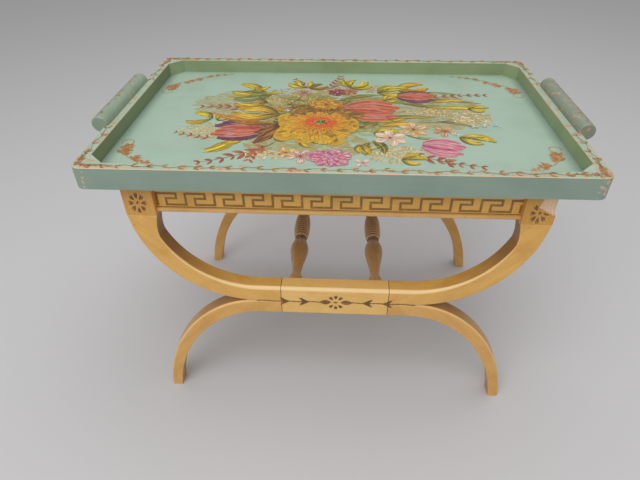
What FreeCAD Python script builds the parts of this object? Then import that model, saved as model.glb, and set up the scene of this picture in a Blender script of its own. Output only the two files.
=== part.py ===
import FreeCAD, Part
import math
import os
from FreeCAD import Vector

# Lift-off tray on a curule stand.  Millimetres, +Z up, +X to the right, front towards -Y.
# The origin is on the floor, under the middle of the table.

# ---- tray ----
TRAY_LENGTH = 700.0
TRAY_DEPTH = 444.0
RIM_Z = 484.0
WALL_HEIGHT = 32.0
WALL_THICK = 16.0
TRAY_CORNER_R = 15.0
PANEL_THICK = 9.0
PANEL_REBATE = 8.0
CORNER_BLOCK_LEG = 23.0

# ---- handles: round rods let into a cove along the outer top edge of each end wall ----
HANDLE_R = 12.5
HANDLE_LENGTH = 188.0
HANDLE_X = 358.0
HANDLE_RISE = 1.0
HANDLE_ARRIS = 1.5
HANDLE_DOWEL_R = 3.0
HANDLE_DOWEL_DROP = 6.0
HANDLE_DOWEL_INNER_X = 338.0
HANDLE_DOWEL_OUTER_X = 360.0
HANDLE_DOWEL_Y = 60.0

# ---- stand: two flat frames joined front to back ----
STAND_DEPTH = 396.0
STOCK = 26.0
CENTRE_HALF = 86.0
SEAM_Z = 230.0
BAR_TOP_Z = 259.0
BAR_BOTTOM_Z = 205.0
BLOCK_OUTER_X = 301.5
BLOCK_INNER_X = 257.5
BLOCK_BOTTOM_Z = 393.5

# the upper arm: a quarter circle outside, a tighter arc inside
ARM_OUTER_CENTRE = (122.0, 409.5)
ARM_OUTER_R = ARM_OUTER_CENTRE[1] - SEAM_Z
ARM_INNER_X = 121.5
ARM_INNER_R = 148.5
# the rounding of the upper front edge, widest on the centre block and dying away up the arm
ROUND_CENTRE = 6.6
ROUND_END = 1.0

# the lower leg: quarter ellipses outside and inside
LEG_OUTER = (122.0, -41.0, 188.0, 271.0)
LEG_INNER = (118.0, -41.0, 172.5, 246.0)
LEG_ROUND = 4.5

# ---- rails under the tray ----
APRON_SETBACK = 10.0
APRON_BOTTOM_Z = 396.5
BEAD_HEIGHT = 7.0
BEAD_PROJECTION = 4.5
RAIL_THICK = 14.0
RAIL_BOTTOM_Z = 400.0
BRACE_LEG = 35.0
BRACE_BOTTOM_Z = 404.0
BRACE_TOP_Z = 434.0

# ---- spindles ----
SPINDLE_X = 67.0
SPINDLE_Z = 234.0
SPINDLE_TENON_R = 7.5
SPINDLE_TENON_LENGTH = 18.0
SPINDLE_BASE_R = 12.5
SPINDLE_RIBS = 12
BARREL_HALF = 36.0
BARREL_MID_R = 14.2
BARREL_END_R = 9.0
RIB_HEIGHT = 0.8
# distance from the middle and radius, at the collar, the top of the vase, along its swell, and at the foot
SPINDLE_COLLAR = (38.5, 7.0)
VASE_TOP = (41.0, 8.4)
VASE_SWELL = ((52.0, 13.2), (68.0, 16.0), (88.0, 13.9), (110.0, 9.9))
SPINDLE_NECK = (130.0, 7.4)
FOOT_HOLLOW = (137.0, 8.5)
FOOT_RIM = (142.0, 11.4)
BASE_START = 144.0

# ---- dowels, cleats and metal fasteners ----
DOWEL_R = 4.0
DOWEL_HALF = 16.0
SMALL_DOWEL_R = 3.0
CENTRE_DOWEL_SPREAD = 6.0
SEAM_DOWEL_X = 117.0
SEAM_DOWEL_HALF = 12.0
BLOCK_DOWEL_SPREAD = 11.0
BLOCK_DOWEL_RISE = 12.0
RAIL_DOWEL_LEVELS = (411.0, 437.0)
CLEAT_WIDTH = 18.0
CLEAT_HEIGHT = 10.0
CLEAT_LENGTH = 240.0
CLEAT_CLEARANCE = 3.0
CLEAT_ARRIS = 2.0
CLEAT_SCREW_Y = 90.0
CLEAT_SCREW_LENGTH = 16.0
SCREW_R = 2.0
SCREW_HEAD_R = 4.0
SCREW_HEAD_HEIGHT = 2.4
BRACE_SCREW_LENGTH = 34.0
NAIL_R = 1.1
NAIL_HEAD_R = 2.4
NAIL_HEAD_HEIGHT = 1.2
WALL_NAIL_LENGTH = 36.0
WALL_NAIL_SINK = 1.0
WALL_NAIL_INSET = 13.0
WALL_NAIL_LEVELS = (463.0, 474.0)
BRAD_LENGTH = 20.0
BRADS_LONG = 6
BRADS_SHORT = 4
BRAD_MARGIN = 60.0

# ---- worked-out levels ----
TRAY_BOTTOM_Z = RIM_Z - WALL_HEIGHT
PANEL_TOP_Z = TRAY_BOTTOM_Z + PANEL_THICK
HALF_LENGTH = TRAY_LENGTH / 2
HALF_DEPTH = TRAY_DEPTH / 2
FRAME_FACE_Y = STAND_DEPTH / 2
FRAME_BACK_Y = FRAME_FACE_Y - STOCK
FRAME_MID_Y = FRAME_FACE_Y - STOCK / 2
APRON_FACE_Y = FRAME_FACE_Y - APRON_SETBACK
BLOCK_MID_X = (BLOCK_OUTER_X + BLOCK_INNER_X) / 2
RAIL_INNER_X = BLOCK_MID_X - RAIL_THICK / 2
HANDLE_Z = RIM_Z + HANDLE_RISE

SIDES = (("left", -1), ("right", 1))
FRAMES = (("front", -1), ("rear", 1))

X_AXIS = Vector(1, 0, 0)
Y_AXIS = Vector(0, 1, 0)
Z_AXIS = Vector(0, 0, 1)
ORIGIN = Vector(0, 0, 0)


# ---- small helpers ----
def box(x0, x1, y0, y1, z0, z1):
    """A box between two corners, given in any order."""
    low = Vector(min(x0, x1), min(y0, y1), min(z0, z1))
    return Part.makeBox(abs(x1 - x0), abs(y1 - y0), abs(z1 - z0), low)


def at(x, z, y=0.0):
    """A point of a frame's outline."""
    return Vector(x, y, z)


def arc(centre, radius, start, end, y=0.0):
    """The shorter arc about centre from start to end, all in one XZ plane."""
    a0 = math.atan2(start[1] - centre[1], start[0] - centre[0])
    a1 = math.atan2(end[1] - centre[1], end[0] - centre[0])
    mid = (a0 + a1) / 2
    middle = at(centre[0] + radius * math.cos(mid), centre[1] + radius * math.sin(mid), y)
    return Part.Arc(at(start[0], start[1], y), middle, at(end[0], end[1], y)).toShape()


def line(start, end, y=0.0):
    """A straight edge in an XZ plane."""
    return Part.makeLine(at(start[0], start[1], y), at(end[0], end[1], y))


def ellipse_arc(spec, z_end):
    """An ellipse's edge from its top, out and down to a height."""
    cx, cz, half_x, half_z = spec
    ellipse = Part.Ellipse(at(cx, cz + half_z), at(cx + half_x, cz), at(cx, cz))
    return ellipse.toShape(0.0, ellipse.parameter(at(ellipse_x(spec, z_end), z_end)))


def ellipse_x(spec, z):
    """The ellipse's outer x at a height."""
    cx, cz, half_x, half_z = spec
    return cx + half_x * math.sqrt(1 - ((z - cz) / half_z) ** 2)


def across(edges, y0, y1):
    """A solid whose outline, in the plane y = 0, is swept from y0 to y1."""
    wire = Part.Wire(Part.__sortEdges__(edges))
    face = Part.Face(wire)
    face.translate(Vector(0, y0, 0))
    return face.extrude(Vector(0, y1 - y0, 0))


def mirrored(shape, side, frame):
    """A piece made for the front right, moved to the given side and frame."""
    result = shape
    if side < 0:
        result = result.mirror(ORIGIN, X_AXIS)
    if frame > 0:
        result = result.mirror(ORIGIN, Y_AXIS)
    return result


def all_four(shapes):
    """Copies of the front right's solids for all four corners."""
    return [mirrored(shape, side, frame) for _, frame in FRAMES for _, side in SIDES for shape in shapes]


def both_sides(shapes):
    """The solids and their mirror images across the middle of the length."""
    return list(shapes) + [shape.mirror(ORIGIN, X_AXIS) for shape in shapes]


def peg(start, direction, length, radius):
    """A plain dowel."""
    return Part.makeCylinder(radius, length, start, direction)


def screw(head, direction, length):
    """A countersunk wood screw, its head flush at the point given."""
    neck = head + direction * SCREW_HEAD_HEIGHT
    cone = Part.makeCone(SCREW_HEAD_R, SCREW_R, SCREW_HEAD_HEIGHT, head, direction)
    shank = Part.makeCylinder(SCREW_R, length - SCREW_HEAD_HEIGHT - SCREW_R, neck, direction)
    tip_start = head + direction * (length - SCREW_R)
    tip = Part.makeCone(SCREW_R, 0.0, SCREW_R, tip_start, direction)
    return cone.fuse([shank, tip]).removeSplitter()


def nail(head, direction, length):
    """A flat-headed nail, its head flush at the point given."""
    cap = Part.makeCylinder(NAIL_HEAD_R, NAIL_HEAD_HEIGHT, head, direction)
    shank = Part.makeCylinder(NAIL_R, length, head, direction)
    return cap.fuse(shank).removeSplitter()


def edges_where(shape, test):
    """The edges whose middle point passes the test."""
    found = []
    for edge in shape.Edges:
        middle = edge.valueAt((edge.FirstParameter + edge.LastParameter) / 2)
        if test(middle, edge):
            found.append(edge)
    return found


# ---- fasteners, made first, because the wood is cut to take them ----
def handle_dowels():
    """Two pegs behind each handle, hidden in the wall."""
    length = HANDLE_DOWEL_OUTER_X - HANDLE_DOWEL_INNER_X
    z = RIM_Z - HANDLE_DOWEL_DROP
    pegs = []
    for y in (-HANDLE_DOWEL_Y, HANDLE_DOWEL_Y):
        pegs.append(peg(Vector(HANDLE_DOWEL_INNER_X, y, z), X_AXIS, length, HANDLE_DOWEL_R))
    return both_sides(pegs)


def wall_nails():
    """Two nails through each end wall into the ends of the long walls."""
    start_x = HALF_LENGTH - WALL_NAIL_SINK
    y = HALF_DEPTH - WALL_NAIL_INSET
    nails = [nail(Vector(start_x, -y, z), -X_AXIS, WALL_NAIL_LENGTH) for z in WALL_NAIL_LEVELS]
    return all_four(nails)


def panel_brads():
    """Brads up through the floor panel into the walls."""
    inset = WALL_THICK - PANEL_REBATE / 2
    long_reach = HALF_LENGTH - BRAD_MARGIN
    short_reach = HALF_DEPTH - BRAD_MARGIN
    brads = []
    for i in range(BRADS_LONG):
        x = -long_reach + 2 * long_reach * i / (BRADS_LONG - 1)
        for side in (-1, 1):
            brads.append(nail(Vector(x, side * (HALF_DEPTH - inset), TRAY_BOTTOM_Z), Z_AXIS, BRAD_LENGTH))
    for i in range(BRADS_SHORT):
        y = -short_reach + 2 * short_reach * i / (BRADS_SHORT - 1)
        for side in (-1, 1):
            brads.append(nail(Vector(side * (HALF_LENGTH - inset), y, TRAY_BOTTOM_Z), Z_AXIS, BRAD_LENGTH))
    return brads


def cleat_screws():
    """Two screws up through each cleat into the floor panel."""
    x = RAIL_INNER_X - CLEAT_CLEARANCE - CLEAT_WIDTH / 2
    z = TRAY_BOTTOM_Z - CLEAT_HEIGHT
    screws = [screw(Vector(x, y, z), Z_AXIS, CLEAT_SCREW_LENGTH) for y in (-CLEAT_SCREW_Y, CLEAT_SCREW_Y)]
    return both_sides(screws)


def centre_joint_dowels():
    """Two small dowels in each butt joint between a centre block and an arm or leg."""
    pegs = []
    for z in ((SEAM_Z + BAR_TOP_Z) / 2, (SEAM_Z + BAR_BOTTOM_Z) / 2):
        for offset in (-CENTRE_DOWEL_SPREAD, CENTRE_DOWEL_SPREAD):
            start = Vector(CENTRE_HALF - DOWEL_HALF, -FRAME_MID_Y + offset, z)
            pegs.append(peg(start, X_AXIS, 2 * DOWEL_HALF, SMALL_DOWEL_R))
    return all_four(pegs)


def seam_dowels():
    """One dowel across the seam between each arm and the leg under it."""
    start = Vector(SEAM_DOWEL_X, -FRAME_MID_Y, SEAM_Z - SEAM_DOWEL_HALF)
    return all_four([peg(start, Z_AXIS, 2 * SEAM_DOWEL_HALF, DOWEL_R)])


def top_block_dowels():
    """Two dowels between each arm and its top block."""
    pegs = []
    for offset in (-BLOCK_DOWEL_SPREAD, BLOCK_DOWEL_SPREAD):
        start = Vector(BLOCK_MID_X + offset, -FRAME_MID_Y, BLOCK_BOTTOM_Z - DOWEL_HALF)
        pegs.append(peg(start, Z_AXIS, DOWEL_HALF + BLOCK_DOWEL_RISE, DOWEL_R))
    return all_four(pegs)


def apron_dowels():
    """Two dowels in each end of both aprons."""
    y = -(APRON_FACE_Y + FRAME_BACK_Y) / 2
    pegs = []
    for z in RAIL_DOWEL_LEVELS:
        pegs.append(peg(Vector(BLOCK_INNER_X - DOWEL_HALF, y, z), X_AXIS, 2 * DOWEL_HALF, DOWEL_R))
    return all_four(pegs)


def rail_dowels():
    """Two dowels in each end of both end rails."""
    pegs = []
    for z in RAIL_DOWEL_LEVELS:
        start = Vector(BLOCK_MID_X, -FRAME_BACK_Y + DOWEL_HALF, z)
        pegs.append(peg(start, -Y_AXIS, 2 * DOWEL_HALF, DOWEL_R))
    return all_four(pegs)


def brace_screws():
    """One screw through each corner brace into the corner behind it."""
    z = (BRACE_TOP_Z + BRACE_BOTTOM_Z) / 2
    middle = Vector(RAIL_INNER_X - BRACE_LEG / 2, -FRAME_BACK_Y + BRACE_LEG / 2, z)
    direction = Vector(1, -1, 0).normalize()
    return all_four([screw(middle, direction, BRACE_SCREW_LENGTH)])


# ---- tray pieces ----
def handle_rod():
    """The right handle: a rod with flat, slightly eased ends."""
    start = Vector(HANDLE_X, -HANDLE_LENGTH / 2, HANDLE_Z)
    rod = Part.makeCylinder(HANDLE_R, HANDLE_LENGTH, start, Y_AXIS)
    ends = [edge for edge in rod.Edges if abs(abs(edge.CenterOfMass.y) - HANDLE_LENGTH / 2) < 0.01]
    return rod.makeChamfer(HANDLE_ARRIS, [edge for edge in ends if edge.Closed])


def end_wall():
    """The right end wall: full depth, with rounded corners, a rebate and the handle's cove."""
    wall = box(HALF_LENGTH - WALL_THICK, HALF_LENGTH, -HALF_DEPTH, HALF_DEPTH, TRAY_BOTTOM_Z, RIM_Z)
    corners = edges_where(wall, lambda m, e: m.x > HALF_LENGTH - 1 and abs(abs(m.y) - HALF_DEPTH) < 1
                          and abs(m.z - (RIM_Z + TRAY_BOTTOM_Z) / 2) < 1)
    wall = wall.makeFillet(TRAY_CORNER_R, corners)
    rebate = box(HALF_LENGTH - WALL_THICK - 1, HALF_LENGTH - WALL_THICK + PANEL_REBATE,
                 -HALF_DEPTH + WALL_THICK - PANEL_REBATE, HALF_DEPTH - WALL_THICK + PANEL_REBATE,
                 TRAY_BOTTOM_Z - 1, PANEL_TOP_Z)
    start = Vector(HANDLE_X, -HANDLE_LENGTH / 2, HANDLE_Z)
    cove = Part.makeCylinder(HANDLE_R, HANDLE_LENGTH, start, Y_AXIS)
    return wall.cut([rebate, cove])


def long_wall():
    """The front wall, butted between the end walls, with its rebate."""
    reach = HALF_LENGTH - WALL_THICK
    wall = box(-reach, reach, -HALF_DEPTH, -HALF_DEPTH + WALL_THICK, TRAY_BOTTOM_Z, RIM_Z)
    rebate = box(-reach - 1, reach + 1, -HALF_DEPTH + WALL_THICK - PANEL_REBATE, -HALF_DEPTH + WALL_THICK + 1,
                 TRAY_BOTTOM_Z - 1, PANEL_TOP_Z)
    return wall.cut(rebate)


def floor_panel():
    """The plywood floor, let into the walls from below."""
    half_x = HALF_LENGTH - WALL_THICK + PANEL_REBATE
    half_y = HALF_DEPTH - WALL_THICK + PANEL_REBATE
    return box(-half_x, half_x, -half_y, half_y, TRAY_BOTTOM_Z, PANEL_TOP_Z)


def corner_block():
    """The front right corner block: a triangular fillet that stands up to the rim."""
    x = HALF_LENGTH - WALL_THICK
    y = -HALF_DEPTH + WALL_THICK
    corners = [Vector(x, y, PANEL_TOP_Z), Vector(x, y + CORNER_BLOCK_LEG, PANEL_TOP_Z),
               Vector(x - CORNER_BLOCK_LEG, y, PANEL_TOP_Z)]
    face = Part.Face(Part.makePolygon(corners + corners[:1]))
    return face.extrude(Vector(0, 0, RIM_Z - PANEL_TOP_Z))


def cleat():
    """The right locating cleat, under the floor panel and just inside the end rail."""
    outer = RAIL_INNER_X - CLEAT_CLEARANCE
    blank = box(outer - CLEAT_WIDTH, outer, -CLEAT_LENGTH / 2, CLEAT_LENGTH / 2,
                TRAY_BOTTOM_Z - CLEAT_HEIGHT, TRAY_BOTTOM_Z)
    lower = edges_where(blank, lambda m, e: abs(m.z - (TRAY_BOTTOM_Z - CLEAT_HEIGHT)) < 0.01)
    return blank.makeChamfer(CLEAT_ARRIS, lower)


# ---- stand pieces, made for the front right ----
def arm_inner_centre():
    """The centre of the arm's inner arc, whose lowest point is the bar's top."""
    return (ARM_INNER_X, BAR_TOP_Z + ARM_INNER_R)


def arm_inner_meeting_z():
    """The height where the arm's inner arc meets the upright inner face."""
    centre = arm_inner_centre()
    return centre[1] - math.sqrt(ARM_INNER_R ** 2 - (BLOCK_INNER_X - centre[0]) ** 2)


def arm():
    """The upper arm, from the centre block up to the top block."""
    centre = arm_inner_centre()
    shoulder = ARM_OUTER_CENTRE[0] + math.sqrt(
        ARM_OUTER_R ** 2 - (BLOCK_BOTTOM_Z - ARM_OUTER_CENTRE[1]) ** 2)
    low = (ARM_OUTER_CENTRE[0], SEAM_Z)
    high = (shoulder, BLOCK_BOTTOM_Z)
    inner_top = (BLOCK_INNER_X, BLOCK_BOTTOM_Z)
    inner_high = (BLOCK_INNER_X, arm_inner_meeting_z())
    inner_low = (ARM_INNER_X, BAR_TOP_Z)
    edges = [line((CENTRE_HALF, SEAM_Z), low), arc(ARM_OUTER_CENTRE, ARM_OUTER_R, low, high),
             line(high, inner_top), line(inner_top, inner_high),
             arc(centre, ARM_INNER_R, inner_high, inner_low),
             line(inner_low, (CENTRE_HALF, BAR_TOP_Z)), line((CENTRE_HALF, BAR_TOP_Z), (CENTRE_HALF, SEAM_Z))]
    blank = across(edges, -FRAME_FACE_Y, -FRAME_BACK_Y)
    upper_front = edges_where(blank, lambda m, e: abs(m.y + FRAME_FACE_Y) < 0.01 and e.Length > 100
                              and math.hypot(m.x - centre[0], m.z - centre[1]) < ARM_INNER_R + 1)
    return blank.makeFillet(ROUND_END, ROUND_CENTRE, upper_front)


def leg():
    """The lower leg, from the centre block out and down to the floor."""
    outer_top = (LEG_OUTER[0], SEAM_Z)
    inner_top = (LEG_INNER[0], BAR_BOTTOM_Z)
    edges = [line((CENTRE_HALF, SEAM_Z), outer_top), ellipse_arc(LEG_OUTER, 0.0),
             line((ellipse_x(LEG_OUTER, 0.0), 0.0), (ellipse_x(LEG_INNER, 0.0), 0.0)),
             ellipse_arc(LEG_INNER, 0.0), line(inner_top, (CENTRE_HALF, BAR_BOTTOM_Z)),
             line((CENTRE_HALF, BAR_BOTTOM_Z), (CENTRE_HALF, SEAM_Z))]
    blank = across(edges, -FRAME_FACE_Y, -FRAME_BACK_Y)
    outer_front = edges_where(blank, lambda m, e: abs(m.y + FRAME_FACE_Y) < 0.01
                              and e.Length > 200 and m.z > BAR_BOTTOM_Z * 0.5
                              and m.x > ellipse_x(LEG_INNER, m.z) + 5)
    return blank.makeFillet(LEG_ROUND, outer_front)


def centre_block():
    """The front centre block, one piece as high as both bars."""
    blank = box(-CENTRE_HALF, CENTRE_HALF, -FRAME_FACE_Y, -FRAME_BACK_Y, BAR_BOTTOM_Z, BAR_TOP_Z)
    upper_front = edges_where(blank, lambda m, e: abs(m.y + FRAME_FACE_Y) < 0.01
                              and abs(m.z - BAR_TOP_Z) < 0.01)
    blank = blank.makeFillet(ROUND_CENTRE, upper_front)
    sockets = []
    for x in (-SPINDLE_X, SPINDLE_X):
        start = Vector(x, -FRAME_BACK_Y, SPINDLE_Z)
        sockets.append(Part.makeCylinder(SPINDLE_TENON_R, SPINDLE_TENON_LENGTH, start, -Y_AXIS))
    return blank.cut(sockets)


def top_block():
    """The rectangular block on top of the arm, which carries the tray."""
    return box(BLOCK_INNER_X, BLOCK_OUTER_X, -FRAME_FACE_Y, -FRAME_BACK_Y, BLOCK_BOTTOM_Z, TRAY_BOTTOM_Z)


def apron():
    """The front apron, set back from the frame's face."""
    return box(-BLOCK_INNER_X, BLOCK_INNER_X, -APRON_FACE_Y, -FRAME_BACK_Y, APRON_BOTTOM_Z, TRAY_BOTTOM_Z)


def bead():
    """The half-round moulding along the apron's lower edge."""
    low = APRON_BOTTOM_Z
    high = APRON_BOTTOM_Z + BEAD_HEIGHT
    x = -BLOCK_INNER_X
    start = Vector(x, -APRON_FACE_Y, low)
    end = Vector(x, -APRON_FACE_Y, high)
    middle = Vector(x, -APRON_FACE_Y - BEAD_PROJECTION, (low + high) / 2)
    wire = Part.Wire([Part.Arc(start, middle, end).toShape(), Part.makeLine(end, start)])
    return Part.Face(wire).extrude(Vector(2 * BLOCK_INNER_X, 0, 0))


def end_rail():
    """The right end rail, between the front and rear top blocks."""
    return box(RAIL_INNER_X, RAIL_INNER_X + RAIL_THICK, -FRAME_BACK_Y, FRAME_BACK_Y,
               RAIL_BOTTOM_Z, TRAY_BOTTOM_Z)


def corner_brace():
    """The front right brace, across the corner between the apron and the end rail."""
    x = RAIL_INNER_X
    y = -FRAME_BACK_Y
    corners = [Vector(x, y, BRACE_BOTTOM_Z), Vector(x, y + BRACE_LEG, BRACE_BOTTOM_Z),
               Vector(x - BRACE_LEG, y, BRACE_BOTTOM_Z)]
    face = Part.Face(Part.makePolygon(corners + corners[:1]))
    return face.extrude(Vector(0, 0, BRACE_TOP_Z - BRACE_BOTTOM_Z))


def barrel_radius(y):
    """The barrel's radius, without its ribs, at a distance from the middle."""
    return BARREL_END_R + (BARREL_MID_R - BARREL_END_R) * math.sqrt(max(0.0, 1 - (y / BARREL_HALF) ** 2))


def spindle():
    """The right spindle: foot, neck, vase, collar and ribbed barrel, the same both ways."""
    def point(y, radius):
        return Vector(SPINDLE_X + radius, y, SPINDLE_Z)

    def barrel(sign):
        """The barrel's ribs, from the middle out."""
        pitch = BARREL_HALF / (SPINDLE_RIBS / 2)
        ribs = []
        for i in range(SPINDLE_RIBS // 2):
            y0 = i * pitch
            y1 = (i + 1) * pitch
            middle = (y0 + y1) / 2
            start = point(sign * y0, barrel_radius(y0))
            crest = point(sign * middle, barrel_radius(middle) + RIB_HEIGHT)
            ribs.append(Part.Arc(start, crest, point(sign * y1, barrel_radius(y1))).toShape())
        return ribs

    def half(sign):
        """The profile from the middle of the barrel out to one end."""
        collar, vase_top, neck, hollow, foot = [
            point(sign * y, radius)
            for y, radius in (SPINDLE_COLLAR, VASE_TOP, SPINDLE_NECK, FOOT_HOLLOW, FOOT_RIM)]
        swell = Part.BSplineCurve()
        swell.interpolate([vase_top] + [point(sign * y, radius) for y, radius in VASE_SWELL] + [neck])
        corners = [foot, point(sign * BASE_START, SPINDLE_BASE_R), point(sign * FRAME_BACK_Y, SPINDLE_BASE_R),
                   point(sign * FRAME_BACK_Y, SPINDLE_TENON_R), point(sign * tip, SPINDLE_TENON_R),
                   point(sign * tip, 0.0)]
        edges = barrel(sign)
        edges.append(Part.makeLine(point(sign * BARREL_HALF, BARREL_END_R), collar))
        edges.append(Part.makeLine(collar, vase_top))
        edges.append(swell.toShape())
        edges.append(Part.Arc(neck, hollow, foot).toShape())
        edges.extend(Part.makeLine(a, b) for a, b in zip(corners, corners[1:]))
        return edges

    tip = FRAME_BACK_Y + SPINDLE_TENON_LENGTH
    axis = [Part.makeLine(point(-tip, 0.0), point(tip, 0.0))]
    wire = Part.Wire(Part.__sortEdges__(half(-1) + half(1) + axis))
    return Part.Face(wire).revolve(Vector(SPINDLE_X, 0, SPINDLE_Z), Y_AXIS, 360)


# ---- assembly ----
def build():
    """Every node's shape, by name."""
    groups = {
        "handle_dowels": handle_dowels(),
        "tray_wall_nails": wall_nails(),
        "floor_panel_brads": panel_brads(),
        "cleat_screws": cleat_screws(),
        "centre_joint_dowels": centre_joint_dowels(),
        "seam_dowels": seam_dowels(),
        "top_block_dowels": top_block_dowels(),
        "apron_dowels": apron_dowels(),
        "rail_dowels": rail_dowels(),
        "brace_screws": brace_screws(),
    }

    def fitted(shape, *names):
        """The wood with sockets cut for the fasteners that enter it."""
        tools = [solid for name in names for solid in groups[name]
                 if solid.BoundBox.intersect(shape.BoundBox)]
        return shape.cut(tools)

    nodes = {}
    nodes["tray_floor_panel"] = fitted(floor_panel(), "floor_panel_brads", "cleat_screws")
    for name, side in SIDES:
        wall = mirrored(end_wall(), side, -1)
        nodes[name + "_end_wall"] = fitted(wall, "handle_dowels", "tray_wall_nails", "floor_panel_brads")
        nodes[name + "_handle_rod"] = fitted(mirrored(handle_rod(), side, -1), "handle_dowels")
        nodes[name + "_locating_cleat"] = fitted(mirrored(cleat(), side, -1), "cleat_screws")
        nodes[name + "_end_rail"] = fitted(mirrored(end_rail(), side, -1), "rail_dowels", "brace_screws")
        nodes[name + "_spindle"] = mirrored(spindle(), side, -1)
    for name, frame in FRAMES:
        nodes["tray_" + name + "_wall"] = fitted(mirrored(long_wall(), 1, frame), "tray_wall_nails",
                                                 "floor_panel_brads")
        nodes[name + "_centre_block"] = fitted(mirrored(centre_block(), 1, frame), "centre_joint_dowels")
        nodes[name + "_apron"] = fitted(mirrored(apron(), 1, frame), "apron_dowels", "brace_screws")
        nodes[name + "_bead_moulding"] = mirrored(bead(), 1, frame)
        for side_name, side in SIDES:
            place = name + "_" + side_name
            nodes["tray_corner_block_" + place] = mirrored(corner_block(), side, frame)
            nodes[place + "_arm"] = fitted(mirrored(arm(), side, frame), "centre_joint_dowels", "seam_dowels",
                                           "top_block_dowels")
            nodes[place + "_leg"] = fitted(mirrored(leg(), side, frame), "centre_joint_dowels", "seam_dowels")
            nodes[place + "_top_block"] = fitted(mirrored(top_block(), side, frame), "top_block_dowels",
                                                 "apron_dowels", "rail_dowels", "brace_screws")
            nodes[place + "_corner_brace"] = fitted(mirrored(corner_brace(), side, frame), "brace_screws")
    for name, solids in groups.items():
        nodes[name] = Part.makeCompound(solids)
    return nodes


def main():
    """Write one STEP file for each node."""
    os.makedirs("parts", exist_ok=True)
    for name, shape in build().items():
        shape.exportStep("parts/" + name + ".step")
        print("%-34s solids %2d  valid %s  volume %10.1f" % (
            name, len(shape.Solids), shape.isValid(), shape.Volume))


main()
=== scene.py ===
"""Looks of a painted lift-off tray on a curule stand.

Sizes in the classes are millimetres and meshes are written in metres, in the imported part's frame:
+Z up, +X to the right along the table, the front towards -Y, the origin on the floor under its middle.
"""

import logging
import math
import random
from dataclasses import dataclass, field
from enum import Enum
from typing import Any, Callable, Sequence

import bmesh
import bpy
import numpy as np
from bpy.types import Material, Mesh, Node, NodeSocket, NodeTree, Object
from mathutils import Matrix, Vector


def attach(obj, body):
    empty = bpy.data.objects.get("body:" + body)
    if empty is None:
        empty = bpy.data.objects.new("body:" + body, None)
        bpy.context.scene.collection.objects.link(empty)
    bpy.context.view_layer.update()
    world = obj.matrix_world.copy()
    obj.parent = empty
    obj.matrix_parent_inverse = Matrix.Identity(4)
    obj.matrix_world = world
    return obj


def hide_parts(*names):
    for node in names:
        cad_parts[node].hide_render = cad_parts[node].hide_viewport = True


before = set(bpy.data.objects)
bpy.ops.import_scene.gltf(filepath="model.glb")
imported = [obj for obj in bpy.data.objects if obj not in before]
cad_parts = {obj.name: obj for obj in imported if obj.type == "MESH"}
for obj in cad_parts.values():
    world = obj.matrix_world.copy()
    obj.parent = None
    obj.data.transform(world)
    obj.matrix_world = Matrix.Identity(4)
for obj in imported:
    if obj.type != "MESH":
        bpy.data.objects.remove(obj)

LOG = logging.getLogger("tray_table")
MM = 0.001

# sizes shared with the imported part
RIM_Z = 484.0
FLOOR_Z = 461.0
TRAY_BOTTOM_Z = 452.0
TRAY_HALF = (350.0, 222.0)
WALL_THICK = 16.0
RECESS_HALF = (TRAY_HALF[0] - WALL_THICK, TRAY_HALF[1] - WALL_THICK)
FRAME_FACE_Y = 198.0
FRAME_BACK_Y = 172.0
APRON_FACE_Y = 188.0
SEAM_Z = 230.0
BAR_TOP_Z = 259.0
BAR_BOTTOM_Z = 205.0
CENTRE_HALF = 86.0
BLOCK_X = (257.5, 301.5)
BLOCK_BOTTOM_Z = 393.5

WHITE = ("#FFFFFF",) * 3
QUARTERS = ((-1, -1), (-1, 1), (1, -1), (1, 1))

Pair = tuple[float, float]
Colour = tuple[float, float, float, float]


class Worded(Enum):
    """Options whose names appear in piece names."""

    @property
    def word(self) -> str:
        """The option's name in small letters."""
        return self.name.lower()


class Side(Worded):
    """Left or right half of the table; the value is the sign of X."""

    LEFT = -1
    RIGHT = 1


class Face(Worded):
    """Front or rear frame of the stand; the value is the sign of Y."""

    FRONT = -1
    REAR = 1


class Along(Enum):
    """The direction in which a surface was brushed or its grain runs."""

    X = 0
    Y = 1
    Z = 2


# ---- colours and nodes
def linear(code: str) -> Colour:
    """Turn an sRGB hex colour into linear light.

    Args:
        code: six hex digits after a hash sign.

    Returns:
        Red, green, blue and an alpha of 1.
    """
    parts = [int(code[i:i + 2], 16) / 255 for i in (1, 3, 5)]
    low = [c / 12.92 if c <= 0.04045 else ((c + 0.055) / 1.055) ** 2.4 for c in parts]
    return low[0], low[1], low[2], 1.0


def feed(tree: NodeTree, node: Node, inputs: dict[Any, Any]) -> None:
    """Set or link a node's inputs.

    Args:
        tree: the node's tree.
        node: the node.
        inputs: values, hex colours or sockets to link, by input name or number.
    """
    for key, value in inputs.items():
        if isinstance(value, NodeSocket):
            tree.links.new(value, node.inputs[key])
        else:
            is_hex = isinstance(value, str) and value.startswith("#")
            node.inputs[key].default_value = linear(value) if is_hex else value


def add(tree: NodeTree, kind: str, settings: dict[str, Any] | None = None,
        inputs: dict[Any, Any] | None = None) -> Node:
    """Add one node with its settings and links.

    Args:
        tree: the tree that takes the node.
        kind: the node's type name.
        settings: properties of the node.
        inputs: what feed() takes.

    Returns:
        The new node.
    """
    node = tree.nodes.new(kind)
    for name, value in (settings or {}).items():
        setattr(node, name, value)
    feed(tree, node, inputs or {})
    return node


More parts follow.
